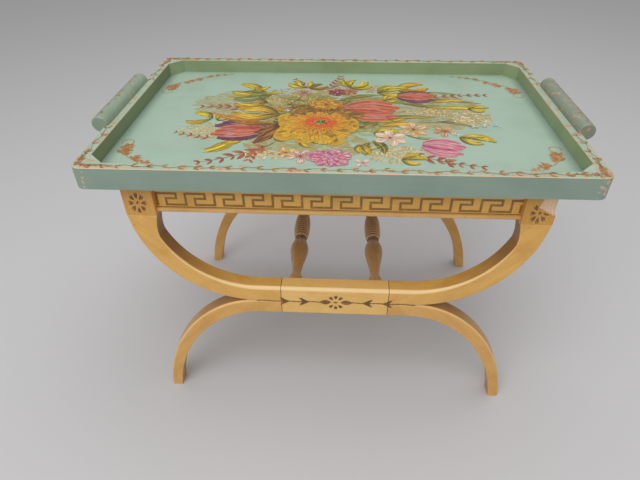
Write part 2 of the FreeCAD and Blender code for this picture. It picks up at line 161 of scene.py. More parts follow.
@dataclass(frozen=True)
class Bench:
    """A material being made: its tree, its shader and the Object coordinates in metres."""

    material: Material
    tree: NodeTree
    shader: Node
    place: NodeSocket

    def grain(self, size: Sequence[float], detail: float = 3.0, shift: float = 0.0,
              turn: Sequence[float] = (0.0, 0.0, 0.0), place: NodeSocket | None = None) -> NodeSocket:
        """A noise whose grains have a real size.

        Args:
            size: the grains' size in millimetres on each axis.
            detail: how many finer layers the noise has.
            shift: moves the pattern, in metres.
            turn: how the grains are turned, in radians.
            place: other coordinates than the object's own.

        Returns:
            The noise's strength, from 0 to 1.
        """
        spot = add(self.tree, "ShaderNodeMapping", {"vector_type": "TEXTURE"}, {
            "Vector": self.place if place is None else place, "Location": (shift,) * 3,
            "Rotation": tuple(turn), "Scale": tuple(s * MM for s in size)}).outputs[0]
        return add(self.tree, "ShaderNodeTexNoise", {}, {
            "Vector": spot, "Scale": 1.0, "Detail": detail, "Roughness": 0.55}).outputs[0]

    def lay(self, under: str | NodeSocket, over: str, pattern: NodeSocket, low: float, high: float,
            most: float = 1.0, how: str = "MIX") -> NodeSocket:
        """Lay one colour over another where a pattern is strong.

        Args:
            under: the colour below.
            over: the colour laid on it.
            pattern: the value that says where.
            low: the pattern's value where the upper colour begins.
            high: its value where the upper colour is fullest.
            most: the upper colour's share there.
            how: how the two colours mix.

        Returns:
            The colour.
        """
        share = add(self.tree, "ShaderNodeMapRange", {}, {
            "Value": pattern, "From Min": low, "From Max": high, "To Min": 0.0, "To Max": most}).outputs[0]
        return add(self.tree, "ShaderNodeMix", {"data_type": "RGBA", "blend_type": how}, {
            0: share, 6: under, 7: over}).outputs[2]

    def glaze(self) -> NodeSocket:
        """The painted light noted on the mesh: painted shade above zero, painted highlight below zero."""
        return add(self.tree, "ShaderNodeAttribute", {"attribute_name": "glaze"}).outputs["Fac"]

    def reach(self, axis: Along) -> NodeSocket:
        """How far a point is from the object's middle along an axis, in metres."""
        parts = add(self.tree, "ShaderNodeSeparateXYZ", {}, {0: self.place}).outputs
        return add(self.tree, "ShaderNodeMath", {"operation": "ABSOLUTE"}, {0: parts[axis.value]}).outputs[0]

    def dress(self, inputs: dict[str, Any], height: NodeSocket | None = None, depth_mm: float = 0.0,
              strength: float = 0.0) -> Material:
        """Give the shader its inputs and, where there is a height, a bumped normal.

        Args:
            inputs: the shader's values and sockets, by name.
            height: the value that stands for height.
            depth_mm: how deep it goes, in millimetres.
            strength: how strongly it shows.

        Returns:
            The finished material.
        """
        feed(self.tree, self.shader, inputs)
        if height is not None:
            feed(self.tree, self.shader, {"Normal": add(self.tree, "ShaderNodeBump", {}, {
                "Height": height, "Distance": depth_mm * MM, "Strength": strength}).outputs[0]})
        return self.material


@dataclass(frozen=True)
class Finish:
    """What every finish shares: a name and a gloss."""

    name: str
    roughness: float = 0.45

    def start(self) -> Bench:
        """Begin the material with its roughness.

        Returns:
            The bench that it lies on.
        """
        material = bpy.data.materials.new(self.name)
        material.use_nodes = True
        tree = material.node_tree
        shader = tree.nodes["Principled BSDF"]
        shader.inputs["Roughness"].default_value = self.roughness
        return Bench(material, tree, shader, add(tree, "ShaderNodeTexCoord").outputs["Object"])


@dataclass(frozen=True)
class BrushedPaint(Finish):
    """Oil paint laid on with a bristle brush, then varnished: fine parallel marks and soft clouds."""

    body: str = "#9DB6A4"
    pale: str = "#B2C8B8"
    deep: str = "#849C86"
    along: Along = Along.X
    worn: str = ""
    worn_share: float = 0.0
    streak: float = 0.5
    chips: tuple[tuple[float, float, float, float], ...] = ()
    # painted shadow on the floor along the end walls: where it is darkest across X, and how far in from there it
    # fades
    basin: float = 0.0
    basin_dirt: float = 17.0

    def material(self) -> Material:
        """The paint's nodes.

        Returns:
            The material.
        """
        bench = self.start()
        size = [1.5, 1.5, 1.5]
        size[self.along.value] = 70.0
        marks = bench.grain(size, 4.0)
        colour = bench.lay(self.body, self.pale, marks, 0.40, 0.68, self.streak)
        colour = bench.lay(colour, self.deep, bench.grain((75.0,) * 3, shift=0.31), 0.46, 0.70, 0.55)
        colour = bench.lay(colour, "#6F7A62", bench.grain((2.2,) * 3, 1.0, 0.77), 0.73, 0.78, 0.5)
        if self.worn:
            level = 0.70 - 0.4 * self.worn_share
            rub = bench.grain((9.0,) * 3, 5.0, 0.13)
            colour = bench.lay(colour, self.worn, rub, level - 0.05, level + 0.05)
        # painted shadow: the floor darkens towards the end walls, where the walls' shade falls
        if self.basin:
            colour = bench.lay(colour, "#6F8079", bench.reach(Along.X), (self.basin - self.basin_dirt) * MM,
                               self.basin * MM, 0.62)
        bits = bench.grain((5.0,) * 3, shift=0.5) if self.chips else None
        for *spot, size in self.chips:
            away = add(bench.tree, "ShaderNodeVectorMath", {"operation": "DISTANCE"}, {
                0: bench.place, 1: tuple(c * MM for c in spot)}).outputs["Value"]
            near = add(bench.tree, "ShaderNodeMapRange", {}, {
                "Value": away, "From Min": size * MM, "From Max": 0.3 * size * MM, "To Max": 0.42}).outputs[0]
            both = add(bench.tree, "ShaderNodeMath", {"operation": "ADD"}, {0: near, 1: bits}).outputs[0]
            colour = bench.lay(colour, "#CDAF92", both, 0.85, 0.89)
        gloss = add(bench.tree, "ShaderNodeMapRange", {}, {
            "Value": marks, "To Min": self.roughness - 0.06, "To Max": self.roughness + 0.08}).outputs[0]
        return bench.dress({"Base Color": colour, "Roughness": gloss}, marks, 0.12, 0.35)


@dataclass(frozen=True)
class ArtistsPaint(Finish):
    """Thick artists' oil in single strokes: bristle lines run along each stroke."""

    def material(self) -> Material:
        """The strokes' nodes, which read each stroke's own map and tint.

        Returns:
            The material.
        """
        bench = self.start()
        tint = add(bench.tree, "ShaderNodeAttribute", {"attribute_name": "tint"}).outputs["Color"]
        place = add(bench.tree, "ShaderNodeUVMap", {"uv_map": "stroke"}).outputs[0]
        bristles = bench.grain((14.0, 1.1, 1.0), 4.0, place=place)
        rich = add(bench.tree, "ShaderNodeHueSaturation", {}, {
            "Saturation": 1.14, "Value": 0.95, "Color": tint}).outputs[0]
        light = bench.lay(rich, "#F2DEAA", bristles, 0.52, 0.74, 0.32)
        colour = bench.lay(light, "#55402C", bristles, 0.48, 0.28, 0.6, "MULTIPLY")
        return bench.dress({"Base Color": colour}, bristles, 0.25, 0.5)


@dataclass(frozen=True)
class BronzePowder(Finish):
    """Bronze powder in size, rubbed through a stencil: dull metal, thin in patches."""

    bright: str = "#C08C55"
    dull: str = "#8F6238"
    bare: str = "#9AA184"
    bare_share: float = 0.3

    def material(self) -> Material:
        """The powder's nodes.

        Returns:
            The material.
        """
        bench = self.start()
        colour = bench.lay(self.dull, self.bright, bench.grain((5.0,) * 3, 4.0), 0.38, 0.62)
        level = 0.66 - 0.3 * self.bare_share
        colour = bench.lay(colour, self.bare, bench.grain((7.0,) * 3, 5.0, 0.4), level, level + 0.08, 0.85)
        return bench.dress({"Base Color": colour, "Metallic": 0.3})


@dataclass(frozen=True)
class HoneyLacquer(Finish):
    """Beech with a toned spirit lacquer: faint figure, fine speckle and short pores under a gloss coat."""

    body: str = "#E3AC55"
    pale: str = "#ECBB6A"
    deep: str = "#C4893A"
    turn: tuple[float, float, float] = (0.0, 0.0, 0.0)

    def material(self) -> Material:
        """The lacquered wood's nodes; painted shade darkens hollows and a painted highlight pales the rounded
        corners.

        Returns:
            The material.
        """
        bench = self.start()
        figure = bench.grain((130.0, 14.0, 14.0), turn=self.turn)
        fibre = bench.grain((30.0, 1.4, 1.4), 4.0, 0.2, self.turn)
        colour = bench.lay(self.body, self.pale, figure, 0.36, 0.64, 0.7)
        colour = bench.lay(colour, self.deep, fibre, 0.48, 0.75, 0.3)
        colour = bench.lay(colour, self.deep, bench.grain((44.0,) * 3, shift=0.6), 0.48, 0.72, 0.4)
        colour = bench.lay(colour, "#F6D48C", bench.grain((1.7,) * 3, 2.0, 0.4), 0.54, 0.74, 0.4)
        pores = bench.grain((4.0, 0.8, 0.8), 1.0, 0.9, self.turn)
        colour = bench.lay(colour, "#7E5222", pores, 0.69, 0.75, 0.5)
        # painted shade darkens and painted highlight pales the wood, as noted on the mesh
        glaze = bench.glaze()
        colour = bench.lay(colour, "#643104", glaze, 0.0, 1.0)
        colour = bench.lay(colour, "#FBD79C", glaze, 0.0, -1.0)
        return bench.dress({"Base Color": colour, "Specular IOR Level": 0.36, "Coat Weight": 0.16,
                            "Coat Roughness": 0.22}, fibre, 0.08, 0.3)


@dataclass(frozen=True)
class TurnedWood(Finish):
    """Lathe-turned beech under a brown toned lacquer, with painted shade in the hollows between the ribs."""

    body: str = "#C5965A"
    deep: str = "#936A3A"
    crest: str = "#EBBC82"

    def material(self) -> Material:
        """The turned wood's nodes; painted light pales the barrel's middle, which lies in the tray's shade.

        Returns:
            The material.
        """
        bench = self.start()
        colour = bench.lay(self.body, self.deep, bench.grain((1.4, 40.0, 1.4), 4.0), 0.38, 0.7, 0.7)
        # painted light on the barrel's middle, against the shade under the tray
        colour = bench.lay(colour, self.crest, bench.reach(Along.Y), 0.042, 0.036, 0.85)
        # painted shade in the grooves and beside the collar, as noted on the mesh
        colour = bench.lay(colour, "#2A1A0C", bench.glaze(), 0.0, 1.0)
        rings = bench.grain((60.0, 1.3, 60.0), 2.0, 0.3)
        return bench.dress({"Base Color": colour, "Coat Weight": 0.25, "Coat Roughness": 0.25}, rings, 0.1, 0.3)


@dataclass(frozen=True)
class BrokenWood(Finish):
    """Beech torn open along its fibre: bare, pinkish and dry."""

    body: str = "#F0C6A2"
    pale: str = "#FFE0C0"

    def material(self) -> Material:
        """The torn wood's nodes.

        Returns:
            The material.
        """
        bench = self.start()
        fibre = bench.grain((1.2, 3.0, 14.0), 5.0)
        return bench.dress({"Base Color": bench.lay(self.body, self.pale, fibre, 0.3, 0.7)}, fibre, 0.8, 0.8)


@dataclass(frozen=True)
class BrownStain(Finish):
    """Thin brown stain dabbed through a stencil on lacquer: uneven, lighter where it ran out."""

    body: str = "#8A5E2C"
    thin: str = "#A87B42"
    thin_share: float = 0.5

    def material(self) -> Material:
        """The stain's nodes.

        Returns:
            The material.
        """
        bench = self.start()
        level = 0.72 - 0.3 * self.thin_share
        colour = bench.lay(self.body, self.thin, bench.grain((9.0,) * 3, 4.0), level - 0.1, level + 0.12)
        return bench.dress({"Base Color": colour, "Coat Weight": 0.3, "Coat Roughness": 0.22})


@dataclass(frozen=True)
class PlainWood(Finish):
    """Planed wood without a finish: dry fibre and saw shade."""

    body: str = "#B58D5C"
    deep: str = "#8C6537"
    along: Along = Along.X

    def material(self) -> Material:
        """The bare wood's nodes.

        Returns:
            The material.
        """
        bench = self.start()
        size = [2.0, 2.0, 2.0]
        size[self.along.value] = 60.0
        fibre = bench.grain(size, 4.0)
        return bench.dress({"Base Color": bench.lay(self.body, self.deep, fibre, 0.35, 0.7)}, fibre, 0.15, 0.4)


@dataclass(frozen=True)
class DrawnSteel(Finish):
    """Drawn steel wire with a dull zinc skin, as on nails and wood screws."""

    body: str = "#9A9890"

    def material(self) -> Material:
        """The steel's nodes.

        Returns:
            The material.
        """
        bench = self.start()
        colour = bench.lay(self.body, "#6C675C", bench.grain((1.5,) * 3), 0.4, 0.7, 0.5)
        return bench.dress({"Base Color": colour, "Metallic": 1.0})


# ---- mesh helpers
@dataclass
class Skin:
    """Points and faces gathered for one mesh, with a place on its own map and values at each point."""

    points: list[Sequence[float]] = field(default_factory=list)
    faces: list[tuple[int, ...]] = field(default_factory=list)
    places: list[Pair] = field(default_factory=list)
    tints: list[Colour] = field(default_factory=list)

    def strip(self, rows: Sequence[Sequence[Sequence[float]]], closed: bool = False, flip: bool = False) -> None:
        """Join rows of points with quads.

        Args:
            rows: rows with the same number of points.
            closed: joins each row's last point to its first.
            flip: turns the faces over.
        """
        first = len(self.points)
        width = len(rows[0])
        for row in rows:
            self.points.extend(row)
        for i in range(len(rows) - 1):
            for j in range(width if closed else width - 1):
                a, b = first + i * width + j, first + i * width + (j + 1) % width
                quad = (a, b, b + width, a + width)
                self.faces.append(quad[::-1] if flip else quad)

    def lid(self, start: int, count: int, flip: bool) -> None:
        """Close a ring of points with one face."""
        ring = tuple(range(start, start + count))
        self.faces.append(ring[::-1] if flip else ring)

    def mesh(self, name: str) -> Mesh:
        """Write the gathered points, in metres, as a mesh with its maps.

        Args:
            name: the mesh's name.

        Returns:
            The mesh.
        """
        mesh = bpy.data.meshes.new(name)
        mesh.from_pydata([tuple(c * MM for c in p) for p in self.points], [], self.faces)
        corners = np.empty(len(mesh.loops), np.int32)
        mesh.loops.foreach_get("vertex_index", corners)
        if self.places:
            layer = mesh.uv_layers.new(name="stroke")
            flat = (np.array(self.places, np.float32) * MM)[corners]
            layer.data.foreach_set("uv", flat.ravel())
        if self.tints:
            tint = mesh.attributes.new("tint", "FLOAT_COLOR", "POINT")
            tint.data.foreach_set("color", np.array(self.tints, np.float32).ravel())
        mesh.update()
        return mesh


def placed(name: str, data: Any) -> Object:
    """Put an object with this data into the scene.

    Args:
        name: its name.
        data: its mesh, lamp or camera.

    Returns:
        The object.
    """
    thing = bpy.data.objects.new(name, data)
    bpy.context.scene.collection.objects.link(thing)
    return thing


def piece(name: str, mesh: Mesh, finishes: Sequence[Material], body: str,
          stands_for: Sequence[str] = (), smooth_deg: float = 38.0) -> Object:
    """Make a finished piece from a mesh and hand it to its body.

    Args:
        name: the piece's name.
        mesh: its mesh, in place.
        finishes: its materials, by slot.
        body: the body that it rides on.
        stands_for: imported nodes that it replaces.
        smooth_deg: edges sharper than this stay crisp.

    Returns:
        The piece.
    """
    slots = [0] * len(mesh.polygons)
    mesh.polygons.foreach_get("material_index", slots)
    mesh.materials.clear()
    for finish in finishes:
        mesh.materials.append(finish)
    mesh.polygons.foreach_set("material_index", slots)
    mesh.polygons.foreach_set("use_smooth", [True] * len(mesh.polygons))
    mesh.set_sharp_from_angle(angle=math.radians(smooth_deg))
    thing = placed(name, mesh)
    if stands_for:
        thing.modifiers.new("flat_faces_stay_flat", "WEIGHTED_NORMAL").keep_sharp = True
        mesh = settle(thing)
        thing = placed(name, mesh)
    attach(thing, body)
    if stands_for:
        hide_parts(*stands_for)
    LOG.info("%s: %d faces", name, len(mesh.polygons))
    return thing


def refinish(node: str, finish: Material) -> None:
    """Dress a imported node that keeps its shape.

    Args:
        node: the node's name.
        finish: its material.
    """
    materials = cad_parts[node].data.materials
    materials.clear()
    materials.append(finish)
    LOG.info("%s keeps its packed shape", node)


def settle(thing: Object) -> Mesh:
    """Turn an object with live modifiers into a plain mesh and remove the object.

    Args:
        thing: the object.

    Returns:
        The mesh.
    """
    bpy.context.view_layer.update()
    seen = thing.evaluated_get(bpy.context.evaluated_depsgraph_get())
    mesh = bpy.data.meshes.new_from_object(seen)
    bpy.data.objects.remove(thing)
    return mesh


def eased(node: str, arris: Callable[[Vector, Vector], float], slot: int = 0) -> Mesh:
    """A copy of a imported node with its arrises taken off.

    Args:
        node: the node's name.
        arris: gives an edge's width in millimetres from its middle and direction, both in millimetres.
        slot: the material slot of the faces along the arrises.

    Returns:
        The mesh.
    """
    work = bmesh.new()
    work.from_mesh(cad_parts[node].data)
    bmesh.ops.remove_doubles(work, verts=work.verts, dist=0.002 * MM)
    bmesh.ops.dissolve_limit(work, angle_limit=math.radians(0.5), verts=work.verts, edges=work.edges)
    mesh = bpy.data.meshes.new(node)
    work.to_mesh(mesh)
    work.free()
    widths = []
    for edge in mesh.edges:
        a, b = (mesh.vertices[i].co * 1000 for i in edge.vertices)
        widths.append(arris((a + b) / 2, (b - a).normalized()))
    largest = max(widths)
    weight = mesh.attributes.new("bevel_weight_edge", "FLOAT", "EDGE")
    weight.data.foreach_set("value", [w / largest for w in widths])
    for _ in range(2):
        mesh.materials.append(None)
    thing = placed(node + "_work", mesh)
    bevel = thing.modifiers.new("arris", "BEVEL")
    bevel.limit_method = "WEIGHT"
    bevel.width = largest * MM
    bevel.segments = 3
    bevel.material = slot
    return settle(thing)


def lines(low: float, high: float, radius: float, step: float) -> list[float]:
    """Grid lines across a rounded box: close together in the rounding, even between.

    Args:
        low: the low end.
        high: the high end.
        radius: the rounding's radius.
        step: the distance between even lines.

    Returns:
        The lines' places.
    """
    inner = max(1, round((high - low - 2 * radius) / step))
    middle = [low + radius + (high - low - 2 * radius) * i / inner for i in range(inner + 1)]
    turn = [radius * (1 - math.cos(math.radians(a))) for a in (0.0, 30.0, 60.0)]
    return [low + t for t in turn] + middle + [high - t for t in turn[::-1]]


def rounded_box(skin: Skin, low: Sequence[float], high: Sequence[float], radius: float, step: float) -> None:
    """Add a box whose edges and corners are rounded, with a grid fine enough to carve.

    Args:
        skin: takes the faces.
        low: the lowest corner.
        high: the highest corner.
        radius: the rounding's radius.
        step: the distance between even lines.
    """
    grids = [lines(low[i], high[i], radius, step) for i in range(3)]
    for axis in range(3):
        u, v = [i for i in range(3) if i != axis]
        for end in (0, 1):
            rows = []
            for a in grids[u]:
                row = []
                for b in grids[v]:
                    point = [0.0, 0.0, 0.0]
                    point[axis], point[u], point[v] = (low, high)[end][axis], a, b
                    core = Vector([min(max(point[i], low[i] + radius), high[i] - radius) for i in range(3)])
                    out = Vector(point) - core
                    row.append(core + out.normalized() * radius)
                rows.append(row)
            skin.strip(rows, flip=(end == 0) != (axis == 1))


def with_painted_light(mesh: Mesh, rule: Callable[[Vector, Vector], float]) -> Mesh:
    """Note how much painted shade lies on each face, below zero where a painted highlight pales it.

    Args:
        mesh: the mesh, in place.
        rule: gives the depth from a face's middle in millimetres and its direction.

    Returns:
        The same mesh.
    """
    layer = mesh.attributes.new("glaze", "FLOAT", "FACE")
    layer.data.foreach_set("value", [rule(face.center * 1000, face.normal) for face in mesh.polygons])
    return mesh


def weld(mesh: Mesh) -> Mesh:
    """Merge a mesh's doubled points and point its faces outwards.

    Args:
        mesh: the mesh, which is changed.

    Returns:
        The same mesh.
    """
    work = bmesh.new()
    work.from_mesh(mesh)
    bmesh.ops.remove_doubles(work, verts=work.verts, dist=0.005 * MM)
    bmesh.ops.recalc_face_normals(work, faces=work.faces)
    work.to_mesh(mesh)
    work.free()
    return mesh


# ---- node trees for what repeats
@dataclass(frozen=True)
class Grower:
    """A Geometry Nodes tree with named inputs, run once on a base mesh."""

    name: str
    inputs: tuple[tuple[str, str], ...]
    plan: Callable[[NodeTree, Node], NodeSocket]

    def tree(self) -> NodeTree:
        """Build the tree, ending in Realize Instances and Set Material.

        Returns:
            The tree.
        """
        tree = bpy.data.node_groups.new(self.name, "GeometryNodeTree")
        tree.interface.new_socket("Geometry", in_out="INPUT", socket_type="NodeSocketGeometry")
        for label, kind in self.inputs + (("Finish", "Material"),):
            tree.interface.new_socket(label, in_out="INPUT", socket_type="NodeSocket" + kind)
        tree.interface.new_socket("Geometry", in_out="OUTPUT", socket_type="NodeSocketGeometry")
        source = tree.nodes.new("NodeGroupInput")
        shape = self.plan(tree, source)
        real = add(tree, "GeometryNodeRealizeInstances", {}, {0: shape})
        dressed = add(tree, "GeometryNodeSetMaterial", {}, {
            "Geometry": real.outputs[0], "Material": source.outputs["Finish"]})
        add(tree, "NodeGroupOutput", {}, {0: dressed.outputs[0]})
        return tree

    def grow(self, base: Mesh, values: dict[str, Any]) -> Mesh:
        """Run the tree on a mesh.

        Args:
            base: the mesh that the tree works on.
            values: the tree's inputs, by name.

        Returns:
            The grown mesh.
        """
        tree = bpy.data.node_groups.get(self.name) or self.tree()
        thing = placed(self.name + "_work", base)
        modifier = thing.modifiers.new(self.name, "NODES")
        modifier.node_group = tree
        keys = {item.name: item.identifier for item in tree.interface.items_tree if item.in_out == "INPUT"}
        for label, value in values.items():
            modifier[keys[label]] = value
        return settle(thing)


def vine_plan(tree: NodeTree, source: Node) -> NodeSocket:
    """A waving stem along the base's edges, with a leaf pair at each spacing.

    Args:
        tree: the tree being built.
        source: its group input.

    Returns:
        The shape.
    """
    path = add(tree, "GeometryNodeMeshToCurve", {}, {0: source.outputs["Geometry"]})
    fine = add(tree, "GeometryNodeResampleCurve", {"mode": "LENGTH"}, {0: path.outputs[0], "Length": 2 * MM})
    run = add(tree, "GeometryNodeSplineParameter").outputs["Length"]
    turns = add(tree, "ShaderNodeMath", {"operation": "DIVIDE"}, {0: run, 1: source.outputs["Wave Length"]})
    angle = add(tree, "ShaderNodeMath", {"operation": "MULTIPLY"}, {0: turns.outputs[0], 1: 2 * math.pi})
    wave = add(tree, "ShaderNodeMath", {"operation": "SINE"}, {0: angle.outputs[0]})
    rise = add(tree, "ShaderNodeMath", {"operation": "MULTIPLY"}, {
        0: wave.outputs[0], 1: source.outputs["Wave Height"]})
    tangent = add(tree, "GeometryNodeInputTangent").outputs[0]
    across = add(tree, "ShaderNodeVectorMath", {"operation": "CROSS_PRODUCT"}, {0: (0.0, 0.0, 1.0), 1: tangent})
    push = add(tree, "ShaderNodeVectorMath", {"operation": "SCALE"}, {
        0: across.outputs[0], "Scale": rise.outputs[0]})
    waved = add(tree, "GeometryNodeSetPosition", {}, {"Geometry": fine.outputs[0], "Offset": push.outputs[0]})
    section = add(tree, "GeometryNodeCurvePrimitiveQuadrilateral", {}, {
        "Width": 0.12 * MM, "Height": source.outputs["Stem Width"]})
    stem = add(tree, "GeometryNodeCurveToMesh", {}, {
        0: waved.outputs[0], 1: section.outputs[0], "Fill Caps": True})
    stops = add(tree, "GeometryNodeResampleCurve", {"mode": "LENGTH"}, {
        0: waved.outputs[0], "Length": source.outputs["Spacing"]})
    leaf = add(tree, "GeometryNodeObjectInfo", {}, {0: source.outputs["Leaf"]}).outputs["Geometry"]
    facing = add(tree, "FunctionNodeAlignRotationToVector", {"axis": "X", "pivot_axis": "Z"}, {
        "Vector": tangent})
    sway = add(tree, "FunctionNodeRandomValue", {"data_type": "FLOAT_VECTOR"}, {
        "Min": (0.0, 0.0, -0.45), "Max": (0.0, 0.0, 0.45), "Seed": 7})
    turned = add(tree, "FunctionNodeRotateRotation", {"rotation_space": "LOCAL"}, {
        0: facing.outputs[0], 1: add(tree, "FunctionNodeEulerToRotation", {}, {0: sway.outputs[0]}).outputs[0]})
    size = add(tree, "FunctionNodeRandomValue", {"data_type": "FLOAT"}, {2: 0.75, 3: 1.2, "Seed": 19})
    leaves = add(tree, "GeometryNodeInstanceOnPoints", {}, {
        "Points": stops.outputs[0], "Instance": leaf, "Rotation": turned.outputs[0], "Scale": size.outputs[1]})
    joined = tree.nodes.new("GeometryNodeJoinGeometry")
    tree.links.new(stem.outputs[0], joined.inputs[0])
    tree.links.new(leaves.outputs[0], joined.inputs[0])
    return joined.outputs[0]


def course_plan(tree: NodeTree, source: Node) -> NodeSocket:
    """The base repeated along X.

    Args:
        tree: the tree being built.
        source: its group input.

    Returns:
        The shape.
    """
    step = add(tree, "ShaderNodeCombineXYZ", {}, {0: source.outputs["Pitch"]})
    row = add(tree, "GeometryNodeMeshLine", {"mode": "OFFSET"}, {
        "Count": source.outputs["Count"], "Offset": step.outputs[0]})
    return add(tree, "GeometryNodeInstanceOnPoints", {}, {
        "Points": row.outputs[0], "Instance": source.outputs["Geometry"]}).outputs[0]


def ring_plan(tree: NodeTree, source: Node) -> NodeSocket:
    """The base repeated round a circle, each turned to point outwards.

    Args:
        tree: the tree being built.
        source: its group input.

    Returns:
        The shape.
    """
    ring = add(tree, "GeometryNodeMeshCircle", {}, {
        "Vertices": source.outputs["Count"], "Radius": source.outputs["Radius"]})
    spot = add(tree, "GeometryNodeInputPosition").outputs[0]
    facing = add(tree, "FunctionNodeAlignRotationToVector", {"axis": "X", "pivot_axis": "Z"}, {"Vector": spot})
    return add(tree, "GeometryNodeInstanceOnPoints", {}, {
        "Points": ring.outputs[0], "Instance": source.outputs["Geometry"],
        "Rotation": facing.outputs[0]}).outputs[0]


def lathe_plan(tree: NodeTree, source: Node) -> NodeSocket:
    """A turned surface round the base's line, whose radius is the attribute radius.

    Args:
        tree: the tree being built.
        source: its group input.

    Returns:
        The shape.
    """
    path = add(tree, "GeometryNodeMeshToCurve", {}, {0: source.outputs["Geometry"]})
    radius = add(tree, "GeometryNodeInputNamedAttribute", {"data_type": "FLOAT"}, {"Name": "radius"}).outputs[0]
    circle = add(tree, "GeometryNodeCurvePrimitiveCircle", {}, {
        "Resolution": source.outputs["Facets"], "Radius": 1.0})
    return add(tree, "GeometryNodeCurveToMesh", {}, {
        0: path.outputs[0], 1: circle.outputs[0], "Scale": radius, "Fill Caps": True}).outputs[0]


VINE = Grower("rim_vine", (("Leaf", "Object"), ("Spacing", "Float"), ("Wave Height", "Float"),
                           ("Wave Length", "Float"), ("Stem Width", "Float")), vine_plan)
COURSE = Grower("key_course", (("Count", "Int"), ("Pitch", "Float")), course_plan)
RING = Grower("rosette_ring", (("Count", "Int"), ("Radius", "Float")), ring_plan)
LATHE = Grower("turned_spindle", (("Facets", "Int"),), lathe_plan)


# ---- brushwork
@dataclass(frozen=True)
class Tones:
    """A petal's colours, in sRGB hex."""

    shade: str
    body: str
    light: str
    edge: str


GOLD = Tones("#86681C", "#CBA032", "#EDCE66", "#9C7820")
HONEY = Tones("#7E5A1C", "#C6952E", "#DCB24C", "#D8B660")
AMBER = Tones("#9A5616", "#D08526", "#EEB24A", "#A85C1A")
FLAME = Tones("#B83A12", "#E2591C", "#F08A3A", "#C8461A")
LEMON = Tones("#7C7020", "#D2B434", "#F2DC68", "#9A8628")
CORAL = Tones("#93423A", "#B85C4C", "#CC7C66", "#DC9E86")
PLUM = Tones("#4E2840", "#7A3E56", "#94647E", "#3E2038")
ROSE = Tones("#99446A", "#C06A84", "#D890A0", "#EEC4BC")
BLUSH = Tones("#9C5078", "#C08A98", "#E6C4B8", "#A86A88")
FRILL = Tones("#94561C", "#C87E2C", "#EBB45A", "#E3A94C")
UMBER = Tones("#5E4018", "#94692A", "#C08A38", "#6E4C1C")
BROWN = Tones("#4C2A16", "#7E4A26", "#B07838", "#5E3420")
CREAM = Tones("#B48A5A", "#DDBD92", "#F1DFC0", "#C9A070")
OLIVE = Tones("#4C4A1C", "#7F7A34", "#AFA558", "#5A5424")
MOSS = Tones("#5A6238", "#7F8A52", "#A9AE74", "#626A3C")
RUSSET = Tones("#7A3C2C", "#A8644C", "#C58A70", "#8C4C38")


def blended(first: Colour, second: Colour, share: float) -> Colour:
    """A colour between two linear colours."""
    return tuple(a + (b - a) * share for a, b in zip(first, second))


